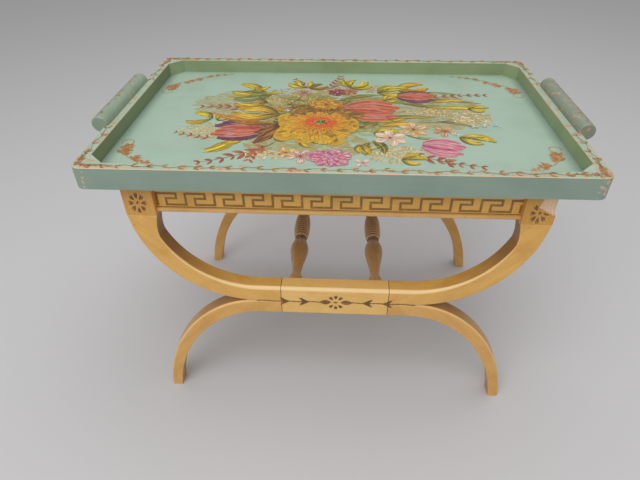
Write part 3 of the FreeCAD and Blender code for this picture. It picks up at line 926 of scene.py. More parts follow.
@dataclass
class Brush:
    """Lays strokes of paint on a surface, each a little higher than the one before."""

    ground: Callable[[float, float, float], Sequence[float]]
    seed: int
    skin: Skin = field(default_factory=Skin)
    lift: float = 0.05
    rise: float = 0.0007

    def __post_init__(self) -> None:
        """Start the random order from the seed."""
        self.chance = random.Random(self.seed)
        self.vary = self.chance.uniform

    def level(self, lift: float) -> None:
        """Start the next flower at a height above the surface, in millimetres."""
        self.lift = lift + self.vary(0.0, self.rise)

    def stroke(self, start: Pair, end: Pair, width: float, root: str, tip: str, edge: str, bend: float = 0.0,
               belly: float = 0.5, blunt: float = 0.2, rows: int = 7, columns: int = 4) -> None:
        """Lay one stroke.

        Args:
            start: where the brush comes down, in millimetres on the surface.
            end: where it lifts off.
            width: the widest part.
            root: the colour at the start.
            tip: the colour at the end.
            edge: the colour along both edges.
            bend: how far the middle is pushed to the left.
            belly: where along the stroke it is widest, from 0 to 1.
            blunt: the ends' width as a share of the widest.
            rows: faces along the stroke.
            columns: faces across it.
        """
        a, b = Vector(start), Vector(end)
        chord = b - a
        if chord.length < 1e-6:
            return
        side = Vector((-chord.y, chord.x)).normalized()
        control = (a + b) / 2 + side * bend * 2
        power = math.log(0.5) / math.log(belly)
        colours = [linear(c) for c in (root, tip, edge)]
        along = self.vary(0, 900)
        strip = []
        for i in range(rows + 1):
            s = i / rows
            spot = a * (1 - s) ** 2 + control * 2 * s * (1 - s) + b * s * s
            way = (control - a) * (1 - s) + (b - control) * s
            left = Vector((-way.y, way.x)).normalized()
            half = width / 2 * (blunt + (1 - blunt) * math.sin(math.pi * s ** power))
            row = []
            for j in range(columns + 1):
                x = 2 * j / columns - 1
                point = spot + left * half * x
                row.append(self.ground(point.x, point.y, self.lift))
                shade = blended(blended(colours[0], colours[1], s), colours[2], abs(x) ** 3 * 0.8)
                light = self.vary(0.93, 1.07)
                self.skin.tints.append((shade[0] * light, shade[1] * light, shade[2] * light, 1.0))
                self.skin.places.append((along + s * chord.length, half * x))
            strip.append(row)
        self.skin.strip(strip, flip=True)
        self.lift += self.rise

    def petal(self, start: Pair, end: Pair, width: float, tones: Tones, bend: float = 0.0, streaks: int = 4,
              belly: float = 0.55, blunt: float = 0.25) -> None:
        """Lay a petal: one broad stroke, then thin light and dark ones over it.

        Args:
            start: the base.
            end: the tip.
            width: the widest part.
            tones: its colours.
            bend: how far the middle is pushed to the left.
            streaks: how many thin strokes lie over it.
            belly: where it is widest, from 0 to 1.
            blunt: the ends' width as a share of the widest.
        """
        self.stroke(start, end, width, tones.shade, tones.body, tones.edge, bend, belly, blunt)
        a, b = Vector(start), Vector(end)
        side = Vector((a.y - b.y, b.x - a.x)).normalized()
        for i in range(streaks):
            x = (i + 0.5) / streaks - 0.5 + self.vary(-0.08, 0.08)
            colour = tones.light if self.chance.random() < 0.62 else tones.shade
            begin = a.lerp(b, self.vary(0.12, 0.35)) + side * x * width * 0.6
            finish = a.lerp(b, self.vary(0.72, 0.93)) + side * x * width * 0.62
            self.stroke(begin[:], finish[:], width * self.vary(0.09, 0.2), tones.body, colour,
                        colour, bend * 0.8, 0.6, 0.15, rows=5, columns=2)

    def dab(self, at: Pair, size: float, colour: str, turn: float, slim: float = 0.5) -> None:
        """Touch the surface once with the tip of the brush.

        Args:
            at: the place.
            size: the dab's length.
            colour: its colour.
            turn: its direction, in radians.
            slim: its width as a share of its length.
        """
        way = Vector((math.cos(turn), math.sin(turn))) * size / 2
        spot = Vector(at)
        self.stroke((spot - way)[:], (spot + way)[:], size * slim, colour, colour, colour, 0.0, 0.5, 0.3, 3, 2)

    def mesh(self, name: str) -> Mesh:
        """The strokes laid so far as one mesh."""
        return self.skin.mesh(name)

    def bare(self, name: str) -> Mesh:
        """The strokes as one mesh without tints, for a stencil of one colour."""
        return Skin(self.skin.points, self.skin.faces).mesh(name)


def spread(centre: Pair, reach: float, angle_deg: float) -> Pair:
    """The point at a distance and angle from a centre."""
    angle = math.radians(angle_deg)
    return centre[0] + reach * math.cos(angle), centre[1] + reach * math.sin(angle)


def within(centre: Pair, reach: Pair, share: float, angle_deg: float) -> Pair:
    """A point of an oval with these half axes, at a share of the way to its rim."""
    spot = spread((0.0, 0.0), share, angle_deg)
    return centre[0] + spot[0] * reach[0], centre[1] + spot[1] * reach[1]


@dataclass
class Bouquet:
    """The painted bunch of garden flowers on the tray's floor."""

    level: float = FLOOR_Z
    seed: int = 41
    middle: Pair = (6.0, 1.9)
    stretch: Pair = (1.005, 1.039)
    lean: Pair = (-0.009, -0.011)
    layer: float = 0.06

    def __post_init__(self) -> None:
        """Take up the brush."""
        self.brush = Brush(self.spot, self.seed)
        self.chance, self.vary = self.brush.chance, self.brush.vary

    def spot(self, x: float, y: float, lift: float) -> tuple[float, float, float]:
        """Where a place of the drawing lies on the floor."""
        return (self.middle[0] + self.stretch[0] * x + self.lean[0] * y,
                self.middle[1] + self.stretch[1] * y + self.lean[1] * x, self.level + lift)

    def haze(self, low: float, centre: Pair, reach: Pair, count: int, colours: Sequence[str],
             size: float = 9.0) -> None:
        """Scumble soft dabs under the flowers, thinning towards the rim of an oval.

        Args:
            low: the height of the lowest dab.
            centre: the middle.
            reach: the oval's half axes.
            count: how many dabs.
            colours: the colours to choose from.
            size: a dab's usual length.
        """
        self.brush.level(low)
        for _ in range(count):
            self.brush.lift += self.layer / count - self.brush.rise
            angle, far = self.vary(0, 360), math.sqrt(self.chance.random())
            at = within(centre, reach, far, angle)
            self.brush.dab(at, size * self.vary(0.6, 1.4), self.chance.choice(colours),
                           self.vary(-0.6, 0.6), 0.45)

    def spray(self, centre: Pair, reach: Pair, count: int, colours: Sequence[str], size: float = 3.6) -> None:
        """Stipple a spray of small blossom.

        Args:
            centre: the middle.
            reach: the oval's half axes.
            count: how many dabs.
            colours: the colours to choose from.
            size: a dab's usual length.
        """
        self.brush.level(0.24)
        for _ in range(count):
            self.brush.lift += 0.5 * self.layer / count - self.brush.rise
            angle, far = self.vary(0, 360), self.chance.random() ** 0.65
            at = within(centre, reach, far, angle)
            self.brush.dab(at, size * self.vary(0.5, 1.3), self.chance.choice(colours),
                           self.vary(0, math.pi), 0.55)

    def leaf(self, start: Pair, end: Pair, width: float, tones: Tones, bend: float) -> None:
        """One leaf with a light vein.

        Args:
            start: the base.
            end: the tip.
            width: the widest part.
            tones: its colours.
            bend: how far the middle is pushed to the left.
        """
        self.brush.level(0.30)
        self.brush.petal(start, end, width, tones, bend, 3, 0.45, 0.08)
        self.brush.stroke(start, end, width * 0.12, tones.light, tones.light, tones.light, bend, 0.5, 0.2, 6, 2)

    def sprig(self, start: Pair, end: Pair, size: float, pairs: int, tones: Tones, bend: float = 0.0) -> None:
        """A stem with narrow leaves on both sides.

        Args:
            start: the base.
            end: the tip.
            size: a leaf's usual length.
            pairs: how many pairs of leaves.
            tones: its colours.
            bend: how far the middle is pushed to the left.
        """
        self.brush.level(0.29)
        self.brush.stroke(start, end, 1.1, tones.shade, tones.body, tones.body, bend, 0.5, 0.4, 8, 2)
        a, b = Vector(start), Vector(end)
        heading = math.degrees(math.atan2(b.y - a.y, b.x - a.x))
        side = Vector((a.y - b.y, b.x - a.x)).normalized()
        for i in range(pairs):
            s = (i + 0.7) / pairs
            node = a.lerp(b, s) + side * bend * 4 * s * (1 - s)
            for hand in (-1, 1):
                reach = size * (1.05 - 0.45 * s) * self.vary(0.8, 1.2)
                tip = spread(node[:], reach, heading + hand * self.vary(25, 48))
                end = self.chance.choice((tones.body, tones.light))
                self.brush.stroke(node[:], tip, reach * 0.4, tones.shade, end, tones.body, hand * reach * 0.08,
                                  0.5, 0.1, 4, 2)

    def lily(self, start: Pair, heading: float, fan: float, petals: int, length: float, tones: Tones,
             dark: Tones = OLIVE) -> None:
        """Long curled petals that spring from one point.

        Args:
            start: the point.
            heading: the direction, in degrees.
            fan: the angle over which they spread.
            petals: how many petals.
            length: a petal's usual length.
            tones: its colours.
            dark: the colours of the shaded side.
        """
        self.brush.level(0.33)
        for i in range(petals):
            share = i / max(1, petals - 1) - 0.5
            angle = heading + fan * share
            reach = length * (1 - 0.35 * abs(share)) * self.vary(0.85, 1.12)
            end = spread(start, reach, angle)
            bend = reach * (0.10 + 0.10 * self.chance.random()) * (1 if share >= 0 else -1)
            self.brush.stroke(spread(start, 1.6, angle - 90), spread(end, 2.2, angle - 90), reach * 0.36,
                              dark.shade, dark.body, dark.shade, bend)
            self.brush.petal(start, end, reach * 0.34, tones, bend, 4, 0.62, 0.14)

    def tulip(self, base: Pair, tip: Pair, width: float, heart: Tones, wing: Tones, crest: str) -> None:
        """A tulip seen from the side, its petals closed like a cup.

        Args:
            base: where the stalk would be.
            tip: the mouth.
            width: the cup's width.
            heart: colours of the inner petals.
            wing: colours of the outer petals.
            crest: the colour of the flecks at the mouth.
        """
        self.brush.level(0.40)
        a, b = Vector(base), Vector(tip)
        way, side = b - a, Vector((a.y - b.y, b.x - a.x)).normalized()
        cup = ((0.44, 0.90, wing, 0.30), (-0.44, 0.86, wing, 0.30), (0.22, 1.04, heart, 0.34),
               (-0.26, 1.00, wing, 0.34), (0.05, 0.97, heart, 0.40), (-0.10, 0.86, heart, 0.36))
        for offset, reach, tones, girth in cup:
            root = a + side * offset * width * 0.35
            end = a + way * reach + side * offset * width
            self.brush.petal(root[:], end[:], width * girth * 1.3, tones, offset * width * 0.35, 3, 0.5, 0.3)
        for i in range(7):
            x = self.vary(-0.42, 0.42)
            begin = a + way * self.vary(0.45, 0.65) + side * x * width
            end = begin + way * self.vary(0.16, 0.3)
            self.brush.stroke(begin[:], end[:], width * 0.035, crest, heart.light, crest, 0.0, 0.5, 0.2, 4, 2)

    def ruffled(self, centre: Pair, reach: Pair, rings: Sequence[tuple[float, int, float, Tones]],
                eye: Sequence[str]) -> None:
        """A full round flower, laid from its outer petals inwards.

        Args:
            centre: its middle.
            reach: half its width and half its depth.
            rings: for each ring its size as a share, its petals, their width in millimetres and their tones.
            eye: the colours dabbed in the middle.
        """
        self.brush.level(0.44)
        for size, count, width, tones in rings:
            start = self.vary(0, 360)
            order = list(range(count))
            self.chance.shuffle(order)
            for i in order:
                angle = start + 360 * i / count + self.vary(-7, 7)
                far = size * self.vary(0.88, 1.08)
                near = max(0.08, far - 0.48)
                root, end = within(centre, reach, near, angle), within(centre, reach, far, angle)
                self.brush.petal(root, end, width * self.vary(0.85, 1.15), tones,
                                 width * self.vary(-0.12, 0.12), 4, 0.66, 0.45)
        least = min(reach)
        for _ in range(26):
            at = spread(centre, least * 0.17 * math.sqrt(self.chance.random()), self.vary(0, 360))
            self.brush.dab(at, least * 0.10, self.chance.choice(eye), self.vary(0, 3.1), 0.6)

    def starflower(self, centre: Pair, size: float, petals: int, tones: Tones, eye: str) -> None:
        """A small open flower with rounded petals.

        Args:
            centre: the middle.
            size: a petal's length.
            petals: how many petals.
            tones: its colours.
            eye: the colour of the middle.
        """
        self.brush.level(0.37)
        start = self.vary(0, 360)
        for i in range(petals):
            angle = start + 360 * i / petals + self.vary(-9, 9)
            self.brush.petal(spread(centre, size * 0.1, angle), spread(centre, size, angle), size * 0.62, tones,
                             size * self.vary(-0.08, 0.08), 3, 0.68, 0.35)
        for _ in range(7):
            at = spread(centre, size * 0.14 * self.chance.random(), self.vary(0, 360))
            self.brush.dab(at, size * 0.16, eye, self.vary(0, 3.1), 0.6)

    def under(self) -> None:
        """Scumbled shadow and the sprays behind the flowers."""
        for haze in (
                (0.02, (-12, 8), (158, 96), 520, ("#98A57C", "#A3A578", "#939F74", "#A3AF8C"), 17.0),
                (0.08, (-16, 14), (122, 78), 620, ("#8A8A50", "#948A4E", "#7F824A", "#9A9460"), 15.0),
                (0.14, (-18, 10), (98, 62), 420, ("#6A6428", "#7C6A30", "#5C5826", "#8A7438"), 13.0),
                (0.20, (-80, -40), (34, 30), 90, ("#5E4A28", "#6E5430", "#7A6236"), 11.0),
                (0.20, (120, 74), (70, 20), 90, ("#7E7F46", "#8C8A4C", "#97965A"), 13.0),
                (0.08, (-180, 44), (76, 48), 300, ("#A4A886", "#A3A27C", "#A6AE90", "#A29A72"), 16.0),
                (0.08, (152, 26), (88, 66), 360, ("#A3A482", "#9C9870", "#A5AA88", "#A99F78"), 16.0),
                (0.08, (-50, -98), (96, 40), 330, ("#A4A074", "#9C9668", "#A99C72", "#A8A880"), 13.0),
                (0.20, (-20, 26), (72, 20), 130, ("#6E4E20", "#84602A", "#5C4A1C", "#7C5A28"), 11.0)):
            self.haze(*haze)
        for centre, reach, count, colours in (
                ((-112, 64), (58, 22), 330, ("#C3A66E", "#B59760", "#D6C08C", "#9F8A4E")),
                ((-52, 60), (40, 18), 190, ("#B9A060", "#A8904E", "#CBB478", "#8E7A40")),
                ((-78, 96), (60, 20), 220, ("#B99A68", "#CBAF7C", "#A78A58", "#C8A070")),
                ((-8, 112), (44, 16), 130, ("#C08E6A", "#CFA884", "#B07A58")),
                ((-215, -62), (42, 30), 330, ("#D3BE8E", "#C9B283", "#B9AE7A", "#DCCB9F")),
                ((78, -122), (46, 28), 340, ("#D9C08A", "#CBAE74", "#E3D0A2", "#B9A064")),
                ((208, 2), (36, 32), 300, ("#DCC79C", "#C8AE7A", "#E8DAB8", "#B79C66")),
                ((146, 24), (46, 18), 220, ("#CDB384", "#B79A66", "#DDC9A0")),
                ((-114, -132), (34, 15), 130, ("#DDBF94", "#E8D2AC", "#C9A878")),
                ((58, 118), (36, 20), 170, ("#C0A06A", "#B08E58", "#D2B684")),
                ((-112, 26), (46, 13), 110, ("#C98A3A", "#B9792E", "#D9A24E"))):
            self.spray(centre, reach, count, colours, 4.6)

    def foliage(self) -> None:
        """Leaves and sprigs round the bunch."""
        for start, end, width, bend in (
                ((95, 58), (232, 46), 13, -8), ((110, 70), (236, 62), 10, 6), ((60, -8), (150, 2), 14, 6),
                ((40, -88), (34, -128), 15, -6), ((-60, 8), (-150, 22), 11, 4), ((20, 40), (96, 62), 12, 7),
                ((-95, -30), (-40, 8), 14, 6), ((150, -12), (212, -34), 8, 5), ((-88, -92), (-104, -66), 9, 5),
                ((0, 70), (70, 92), 11, 5)):
            self.leaf(start, end, width, OLIVE, bend)
        for start, end, width, bend, tones in (
                ((138, 38), (240, 36), 15, 6, LEMON), ((60, -34), (118, -22), 16, 5, GOLD),
                ((56, -16), (104, 2), 14, -5, GOLD), ((-120, 66), (-206, 60), 16, -8, LEMON),
                ((66, 108), (132, 116), 13, 6, LEMON), ((52, -60), (96, -50), 12, 4, OLIVE),
                ((150, 60), (214, 74), 12, 5, GOLD), ((44, -82), (60, -122), 17, 7, OLIVE)):
            self.leaf(start, end, width, tones, bend)
        for start, end, width, bend in (
                ((-60, 60), (-128, 92), 10, 5), ((95, -60), (150, -72), 8, -5), ((-20, 88), (30, 118), 9, 5),
                ((120, 96), (205, 100), 10, 7)):
            self.leaf(start, end, width, MOSS, bend)
        for start, end, size, pairs, bend in (
                ((-108, -100), (-205, -158), 19, 7, 7), ((-150, 20), (-242, 28), 17, 6, -6),
                ((96, -118), (196, -152), 17, 7, -5), ((150, 84), (252, 98), 15, 7, 4),
                ((-30, 110), (-6, 180), 15, 6, -4), ((-60, 120), (-92, 162), 14, 5, 4),
                ((-196, -84), (-262, -66), 12, 5, 3), ((128, -110), (150, -148), 14, 4, 4),
                ((-118, -108), (-132, -150), 15, 4, -4)):
            self.sprig(start, end, size, pairs, RUSSET, bend)

    def edges(self) -> None:
        """Yellow lilies round the rim of the bunch."""
        for start, heading, fan, petals, length, tones in (
                ((-215, -20), 168, 50, 2, 46, LEMON), ((-205, -22), 60, 40, 2, 26, LEMON),
                ((-132, 48), 176, 20, 2, 78, GOLD), ((-108, 4), 172, 14, 2, 104, GOLD),
                ((-150, 92), 156, 40, 2, 66, LEMON), ((-150, 96), 32, 60, 2, 40, LEMON),
                ((-128, 84), 188, 20, 2, 80, MOSS), ((-70, 118), 112, 70, 3, 44, LEMON),
                ((-62, 118), 30, 30, 2, 44, UMBER), ((12, 124), 60, 100, 4, 46, LEMON),
                ((62, 104), 22, 40, 3, 62, LEMON), ((96, 118), 20, 18, 2, 72, GOLD),
                ((178, -64), -14, 34, 3, 48, LEMON), ((84, -136), 4, 50, 3, 36, LEMON),
                ((-62, -82), -42, 40, 2, 42, GOLD), ((-150, -72), 212, 26, 2, 56, GOLD),
                ((48, -56), 8, 40, 3, 40, LEMON), ((-92, -128), 30, 60, 3, 22, LEMON),
                ((70, 66), 40, 60, 3, 34, GOLD), ((210, 40), 10, 50, 3, 32, LEMON),
                ((28, -96), -80, 24, 2, 34, GOLD)):
            self.lily(start, heading, fan, petals, length, tones)

    def blooms(self) -> None:
        """The flowers themselves, the large one last."""
        self.leaf((-165, -88), (-204, -128), 24, LEMON, 5)
        self.tulip((-122, -50), (-202, -58), 58, CORAL, PLUM, "#A8A0BC")
        self.brush.level(0.42)
        self.brush.petal((-112, -30), (-222, 8), 15, AMBER, 9, 5, 0.45, 0.1)
        self.brush.petal((-112, -34), (-186, -16), 13, UMBER, 7, 5, 0.45, 0.1)
        self.tulip((2, 30), (90, 22), 66, CORAL, CORAL, "#B7808A")
        self.tulip((96, 88), (160, 84), 42, CORAL, PLUM, "#C7899A")
        self.tulip((118, -92), (176, -106), 44, ROSE, ROSE, "#EBC2C2")
        self.brush.level(0.43)
        for end, width in (((-134, -98), 24), ((-124, -84), 20), ((-138, -64), 20)):
            self.brush.petal((-100, -26), end, width, BROWN, 6, 6, 0.5, 0.2)
        for flower in (
                ((-11, 101), 17, 6, Tones("#5E1C30", "#8E3040", "#C46A70", "#6E2436"), "#D8B8C8"),
                ((14, 104), 13, 5, CORAL, "#7A3030"),
                ((72, -72), 25, 6, Tones("#C49C84", "#E9D2BC", "#FBF0E2", "#D8B69C"), "#6E4A62"),
                ((110, -42), 25, 6, CREAM, "#7A4A50"),
                ((158, -46), 19, 5, Tones("#A8704C", "#CFA47E", "#E6CBA8", "#B88560"), "#7A4A3C"),
                ((-60, -134), 20, 5, Tones("#A8707C", "#DDBBA2", "#F3E0CC", "#C09488"), "#8C5A4A"),
                ((-82, -124), 16, 5, CREAM, "#8C5A4A"),
                ((28, -148), 12, 4, Tones("#C0908C", "#E6CCBC", "#F6E8DC", "#CFA8A0"), "#B0707C"),
                ((-70, 96), 13, 6, Tones("#8A5A52", "#B98C72", "#D6B698", "#94685C"), "#5A3A5C")):
            self.starflower(*flower)
        self.ruffled((-18, -136), (33, 25), (
            (1.0, 11, 17, BLUSH), (0.74, 9, 14, ROSE), (0.46, 7, 10, BLUSH), (0.3, 5, 8, ROSE)),
            ("#7A4A8A", "#A878A8", "#D8C8D8"))
        self.ruffled((-28, 46), (28, 21), ((1.0, 9, 15, AMBER), (0.7, 7, 12, GOLD), (0.4, 6, 8, AMBER)),
                     ("#7A4A18", "#B87824", "#4A3010"))
        self.ruffled((-30, 0), (62, 34), ((1.0, 13, 24, UMBER), (0.7, 11, 20, UMBER)), ("#7A5420",))
        self.ruffled((-42, -38), (70, 58), ((1.0, 9, 44, HONEY), (0.82, 9, 38, HONEY)), ("#7A5420",))
        self.ruffled((-36, -24), (66, 54), (
            (0.86, 26, 9, FRILL), (0.76, 26, 9, HONEY), (0.66, 28, 8, FRILL), (0.56, 28, 8, FRILL),
            (0.46, 28, 7, AMBER), (0.38, 24, 7, FLAME), (0.30, 20, 6, FLAME), (0.22, 14, 5, FLAME)),
            ("#7F9A4A", "#5C7A34", "#2C3A18", "#93A85A"))

    def sparks(self) -> None:
        """Last touches: stamens, dark tendrils and small white blossom."""
        for start, end, bend in (
                ((-120, 40), (-150, 82), 6), ((-96, 44), (-74, 84), -5), ((-100, -92), (-124, -112), 3),
                ((64, -92), (40, -112), 3), ((56, -98), (52, -124), 2), ((118, -16), (176, -4), -5),
                ((92, -20), (70, 4), 4), ((146, 118), (112, 96), 4), ((-168, 96), (-214, 92), -4)):
            self.brush.level(0.92)
            self.brush.stroke(start, end, 1.0, "#4A4626", "#5E5A34", "#4A4626", bend, 0.5, 0.4, 8, 2)
        for centre in ((-92, 18), (172, -58), (224, -22), (242, -22), (206, -28)):
            self.brush.level(0.94)
            for _ in range(9):
                at = spread(centre, 7 * self.chance.random(), self.vary(0, 360))
                self.brush.dab(at, 4.2, self.chance.choice(("#E4ECE6", "#C6DCE0", "#B5CDD6")),
                               self.vary(0, 3.1), 0.55)

    def build(self) -> Object:
        """Paint the bunch from back to front and hand it to the tray.

        Returns:
            The piece.
        """
        self.under()
        self.foliage()
        self.edges()
        self.blooms()
        self.sparks()
        mesh = self.brush.mesh("painted_bouquet")
        return piece("painted_bouquet", mesh, [ArtistsPaint("artists_oil", 0.42).material()], "tray")


# ---- gilding
def gilt_leaf_mesh(length: float, width: float, gap_deg: float) -> Mesh:
    """Two narrow leaves that spring from one point and part by an angle, flat in XY.

    Args:
        length: a leaf's length.
        width: a leaf's width.
        gap_deg: the angle between the two.

    Returns:
        The mesh.
    """
    brush = Brush(lambda x, y, lift: (x, y, lift), 3)
    for hand in (-1, 1):
        end = spread((0.0, 0.0), length, hand * gap_deg / 2)
        brush.stroke((0.0, 0.0), end, width, *WHITE, hand * length * 0.10, 0.5, 0.1, 5, 2)
    return brush.bare("gilt_leaf")


@dataclass
class Gilding:
    """Bronze stencilling: a vine on the rim, scrolls in the floor's corners, leaf specks on the handles."""

    lift: float = 0.18
    rim_inset: float = 8.0
    leaf_spacing: float = 21.0

    def vine(self) -> None:
        """The waving vine on top of the four walls, absent beside the handles."""
        x, y = TRAY_HALF[0] - self.rim_inset, TRAY_HALF[1] - self.rim_inset
        z = RIM_Z + self.lift
        runs = [((-x + 12, -y), (x - 12, -y)), ((-x + 12, y), (x - 12, y))]
        runs += [((sx * x, sy * (y - 12)), (sx * x, sy * 104)) for sx, sy in QUARTERS]
        path = bpy.data.meshes.new("vine_path")
        points = [(p[0] * MM, p[1] * MM, z * MM) for run in runs for p in run]
        path.from_pydata(points, [(2 * i, 2 * i + 1) for i in range(len(runs))], [])
        leaf = placed("leaf_work", gilt_leaf_mesh(11.0, 3.8, 50))
        gilt = BronzePowder("bronze_powder_rim", 0.5, "#BE8C58", "#93663A", "#A6AF90", 0.35).material()
        mesh = VINE.grow(path, {
            "Leaf": leaf, "Spacing": self.leaf_spacing * MM, "Wave Height": 2.0 * MM,
            "Wave Length": 2 * self.leaf_spacing * MM, "Stem Width": 1.1 * MM, "Finish": gilt})
        bpy.data.objects.remove(leaf)
        self.keep_on_rim(mesh)
        piece("rim_gilt_vine", mesh, [gilt], "tray")

    def keep_on_rim(self, mesh: Mesh) -> None:
        """Draw in what would hang over the rim's outer or inner edge.

        Args:
            mesh: the gilding.
        """
        out = [(half - 0.8) * MM for half in TRAY_HALF]
        inside = [(half + 0.6) * MM for half in RECESS_HALF]
        for vertex in mesh.vertices:
            place = [max(-out[i], min(out[i], vertex.co[i])) for i in (0, 1)]
            gaps = [inside[i] - abs(place[i]) for i in (0, 1)]
            if min(gaps) > 0.0:
                near = gaps.index(min(gaps))
                place[near] = math.copysign(inside[near], place[near])
            vertex.co.x, vertex.co.y = place

    def acanthus(self, brush: Brush, at: Pair, heading: float, size: float, lobes: int = 5) -> None:
        """A fan of lobed leaves.

        Args:
            brush: lays the strokes.
            at: where they spring from.
            heading: the direction, in degrees.
            size: the middle leaf's length.
            lobes: how many leaves.
        """
        for i in range(lobes):
            angle = heading + (i / (lobes - 1) - 0.5) * 150
            reach = size * (1 - 0.3 * abs(i / (lobes - 1) - 0.5) * 2) * brush.vary(0.85, 1.1)
            brush.stroke(at, spread(at, reach, angle), reach * 0.42, *WHITE,
                         reach * brush.vary(-0.15, 0.15), 0.55, 0.2, 5, 3)

    def scrolls(self) -> None:
        """A hook, a leaf cluster and a trailing spray in each corner of the floor."""
        brush = Brush(lambda x, y, lift: (x, y, FLOOR_Z + lift), 11)
        for sx, sy in QUARTERS:
            def corner(u: float, v: float, sx: int = sx, sy: int = sy) -> Pair:
                """A place in from the two walls."""
                return sx * (RECESS_HALF[0] - u), sy * (RECESS_HALF[1] - v)

            brush.level(self.lift)
            turn = math.degrees(math.atan2(-sy, -sx))
            for k in range(9):
                ring = [spread((17.0, 104.0), 9.0, 30.0 * j - 60.0) for j in (k, k + 1)]
                brush.stroke(corner(*ring[0]), corner(*ring[1]), 1.5, *WHITE, 0.0, 0.5, 0.8, 3, 2)
            brush.stroke(corner(22, 96), corner(19, 84), 1.6, *WHITE, sx * sy * 1.5, 0.5, 0.5)
            for u, v, size, swing, lobes in (
                    (20, 84, 17, 40, 6), (19, 70, 19, 10, 7), (42, 50, 17, 0, 6), (57, 41, 14, -35, 5),
                    (74, 25, 13, -35, 5), (90, 19, 10, -40, 4), (104, 15, 8, -40, 4), (118, 12, 6, -45, 3)):
                self.acanthus(brush, corner(u, v), turn + sx * sy * swing, size, lobes)
            brush.stroke(corner(19, 80), corner(44, 50), 1.4, *WHITE, -sx * sy * 4, 0.5, 0.5, 8)
            brush.stroke(corner(44, 50), corner(126, 11), 1.3, *WHITE, sx * sy * -8, 0.5, 0.5, 12)
        gilt = BronzePowder("bronze_powder_floor", 0.5, "#C2915E", "#A06B3E", "#A3B39C", 0.25).material()
        piece("floor_gilt_scrolls", brush.bare("scrolls"), [gilt], "tray")

    def corners(self) -> None:
        """Heavier copper leaves on the rim's four corners."""
        brush = Brush(lambda x, y, lift: (x, y, RIM_Z + lift), 23)
        for sx, sy in QUARTERS:
            brush.level(self.lift)
            x, y = sx * (TRAY_HALF[0] - 8.5), sy * (TRAY_HALF[1] - 8.5)
            for heading in (0 if sx < 0 else 180, -90 * sy):
                for k in range(9):
                    at = spread(spread((x, y), 5.2 * k, heading), brush.vary(-2.5, 2.5), heading + 90)
                    self.acanthus(brush, at, heading + brush.vary(-70, 70), 7.0 - 0.35 * k, 5)
        gilt = BronzePowder("bronze_powder_corners", 0.5, "#B98350", "#96603A", "#A6AF90", 0.3).material()
        mesh = brush.bare("rim_gilt_corners")
        self.keep_on_rim(mesh)
        piece("rim_gilt_corners", mesh, [gilt], "tray")

    def rods(self) -> None:
        """Leaf specks along the outer top of each handle."""
        radius, axis_x, axis_z = 12.5, 358.0, 485.0
        for side in Side:
            def ground(u: float, v: float, lift: float, sign: int = side.value) -> Sequence[float]:
                """A place on the rod: u along it, v round it from the top outwards.

                Args:
                    u: along the rod.
                    v: round it from the top.
                    lift: height above it.
                    sign: the side's sign.

                Returns:
                    The place.
                """
                angle = v / radius
                reach = radius + lift
                return sign * (axis_x + reach * math.sin(angle)), u, axis_z + reach * math.cos(angle)

            brush = Brush(ground, 31 + side.value)
            for i in range(15):
                u = -84 + 12 * i + brush.vary(-2, 2)
                brush.level(0.1)
                self.acanthus(brush, (u, brush.vary(1, 8)), brush.chance.choice((0, 180)) +
                              brush.vary(-25, 25), brush.vary(6, 10), 4)
            gilt = BronzePowder("bronze_powder_" + side.word + "_rod", 0.5, "#B4845A", "#8F6244",
                                "#98A892", 0.6).material()
            mesh = brush.bare("rod_gilt")
            if side is Side.RIGHT:
                mesh.flip_normals()
            piece(side.word + "_rod_gilt", mesh, [gilt], "tray")

    def build(self) -> None:
        """Lay all the gilding."""
        self.vine()
        self.corners()
        self.scrolls()
        self.rods()


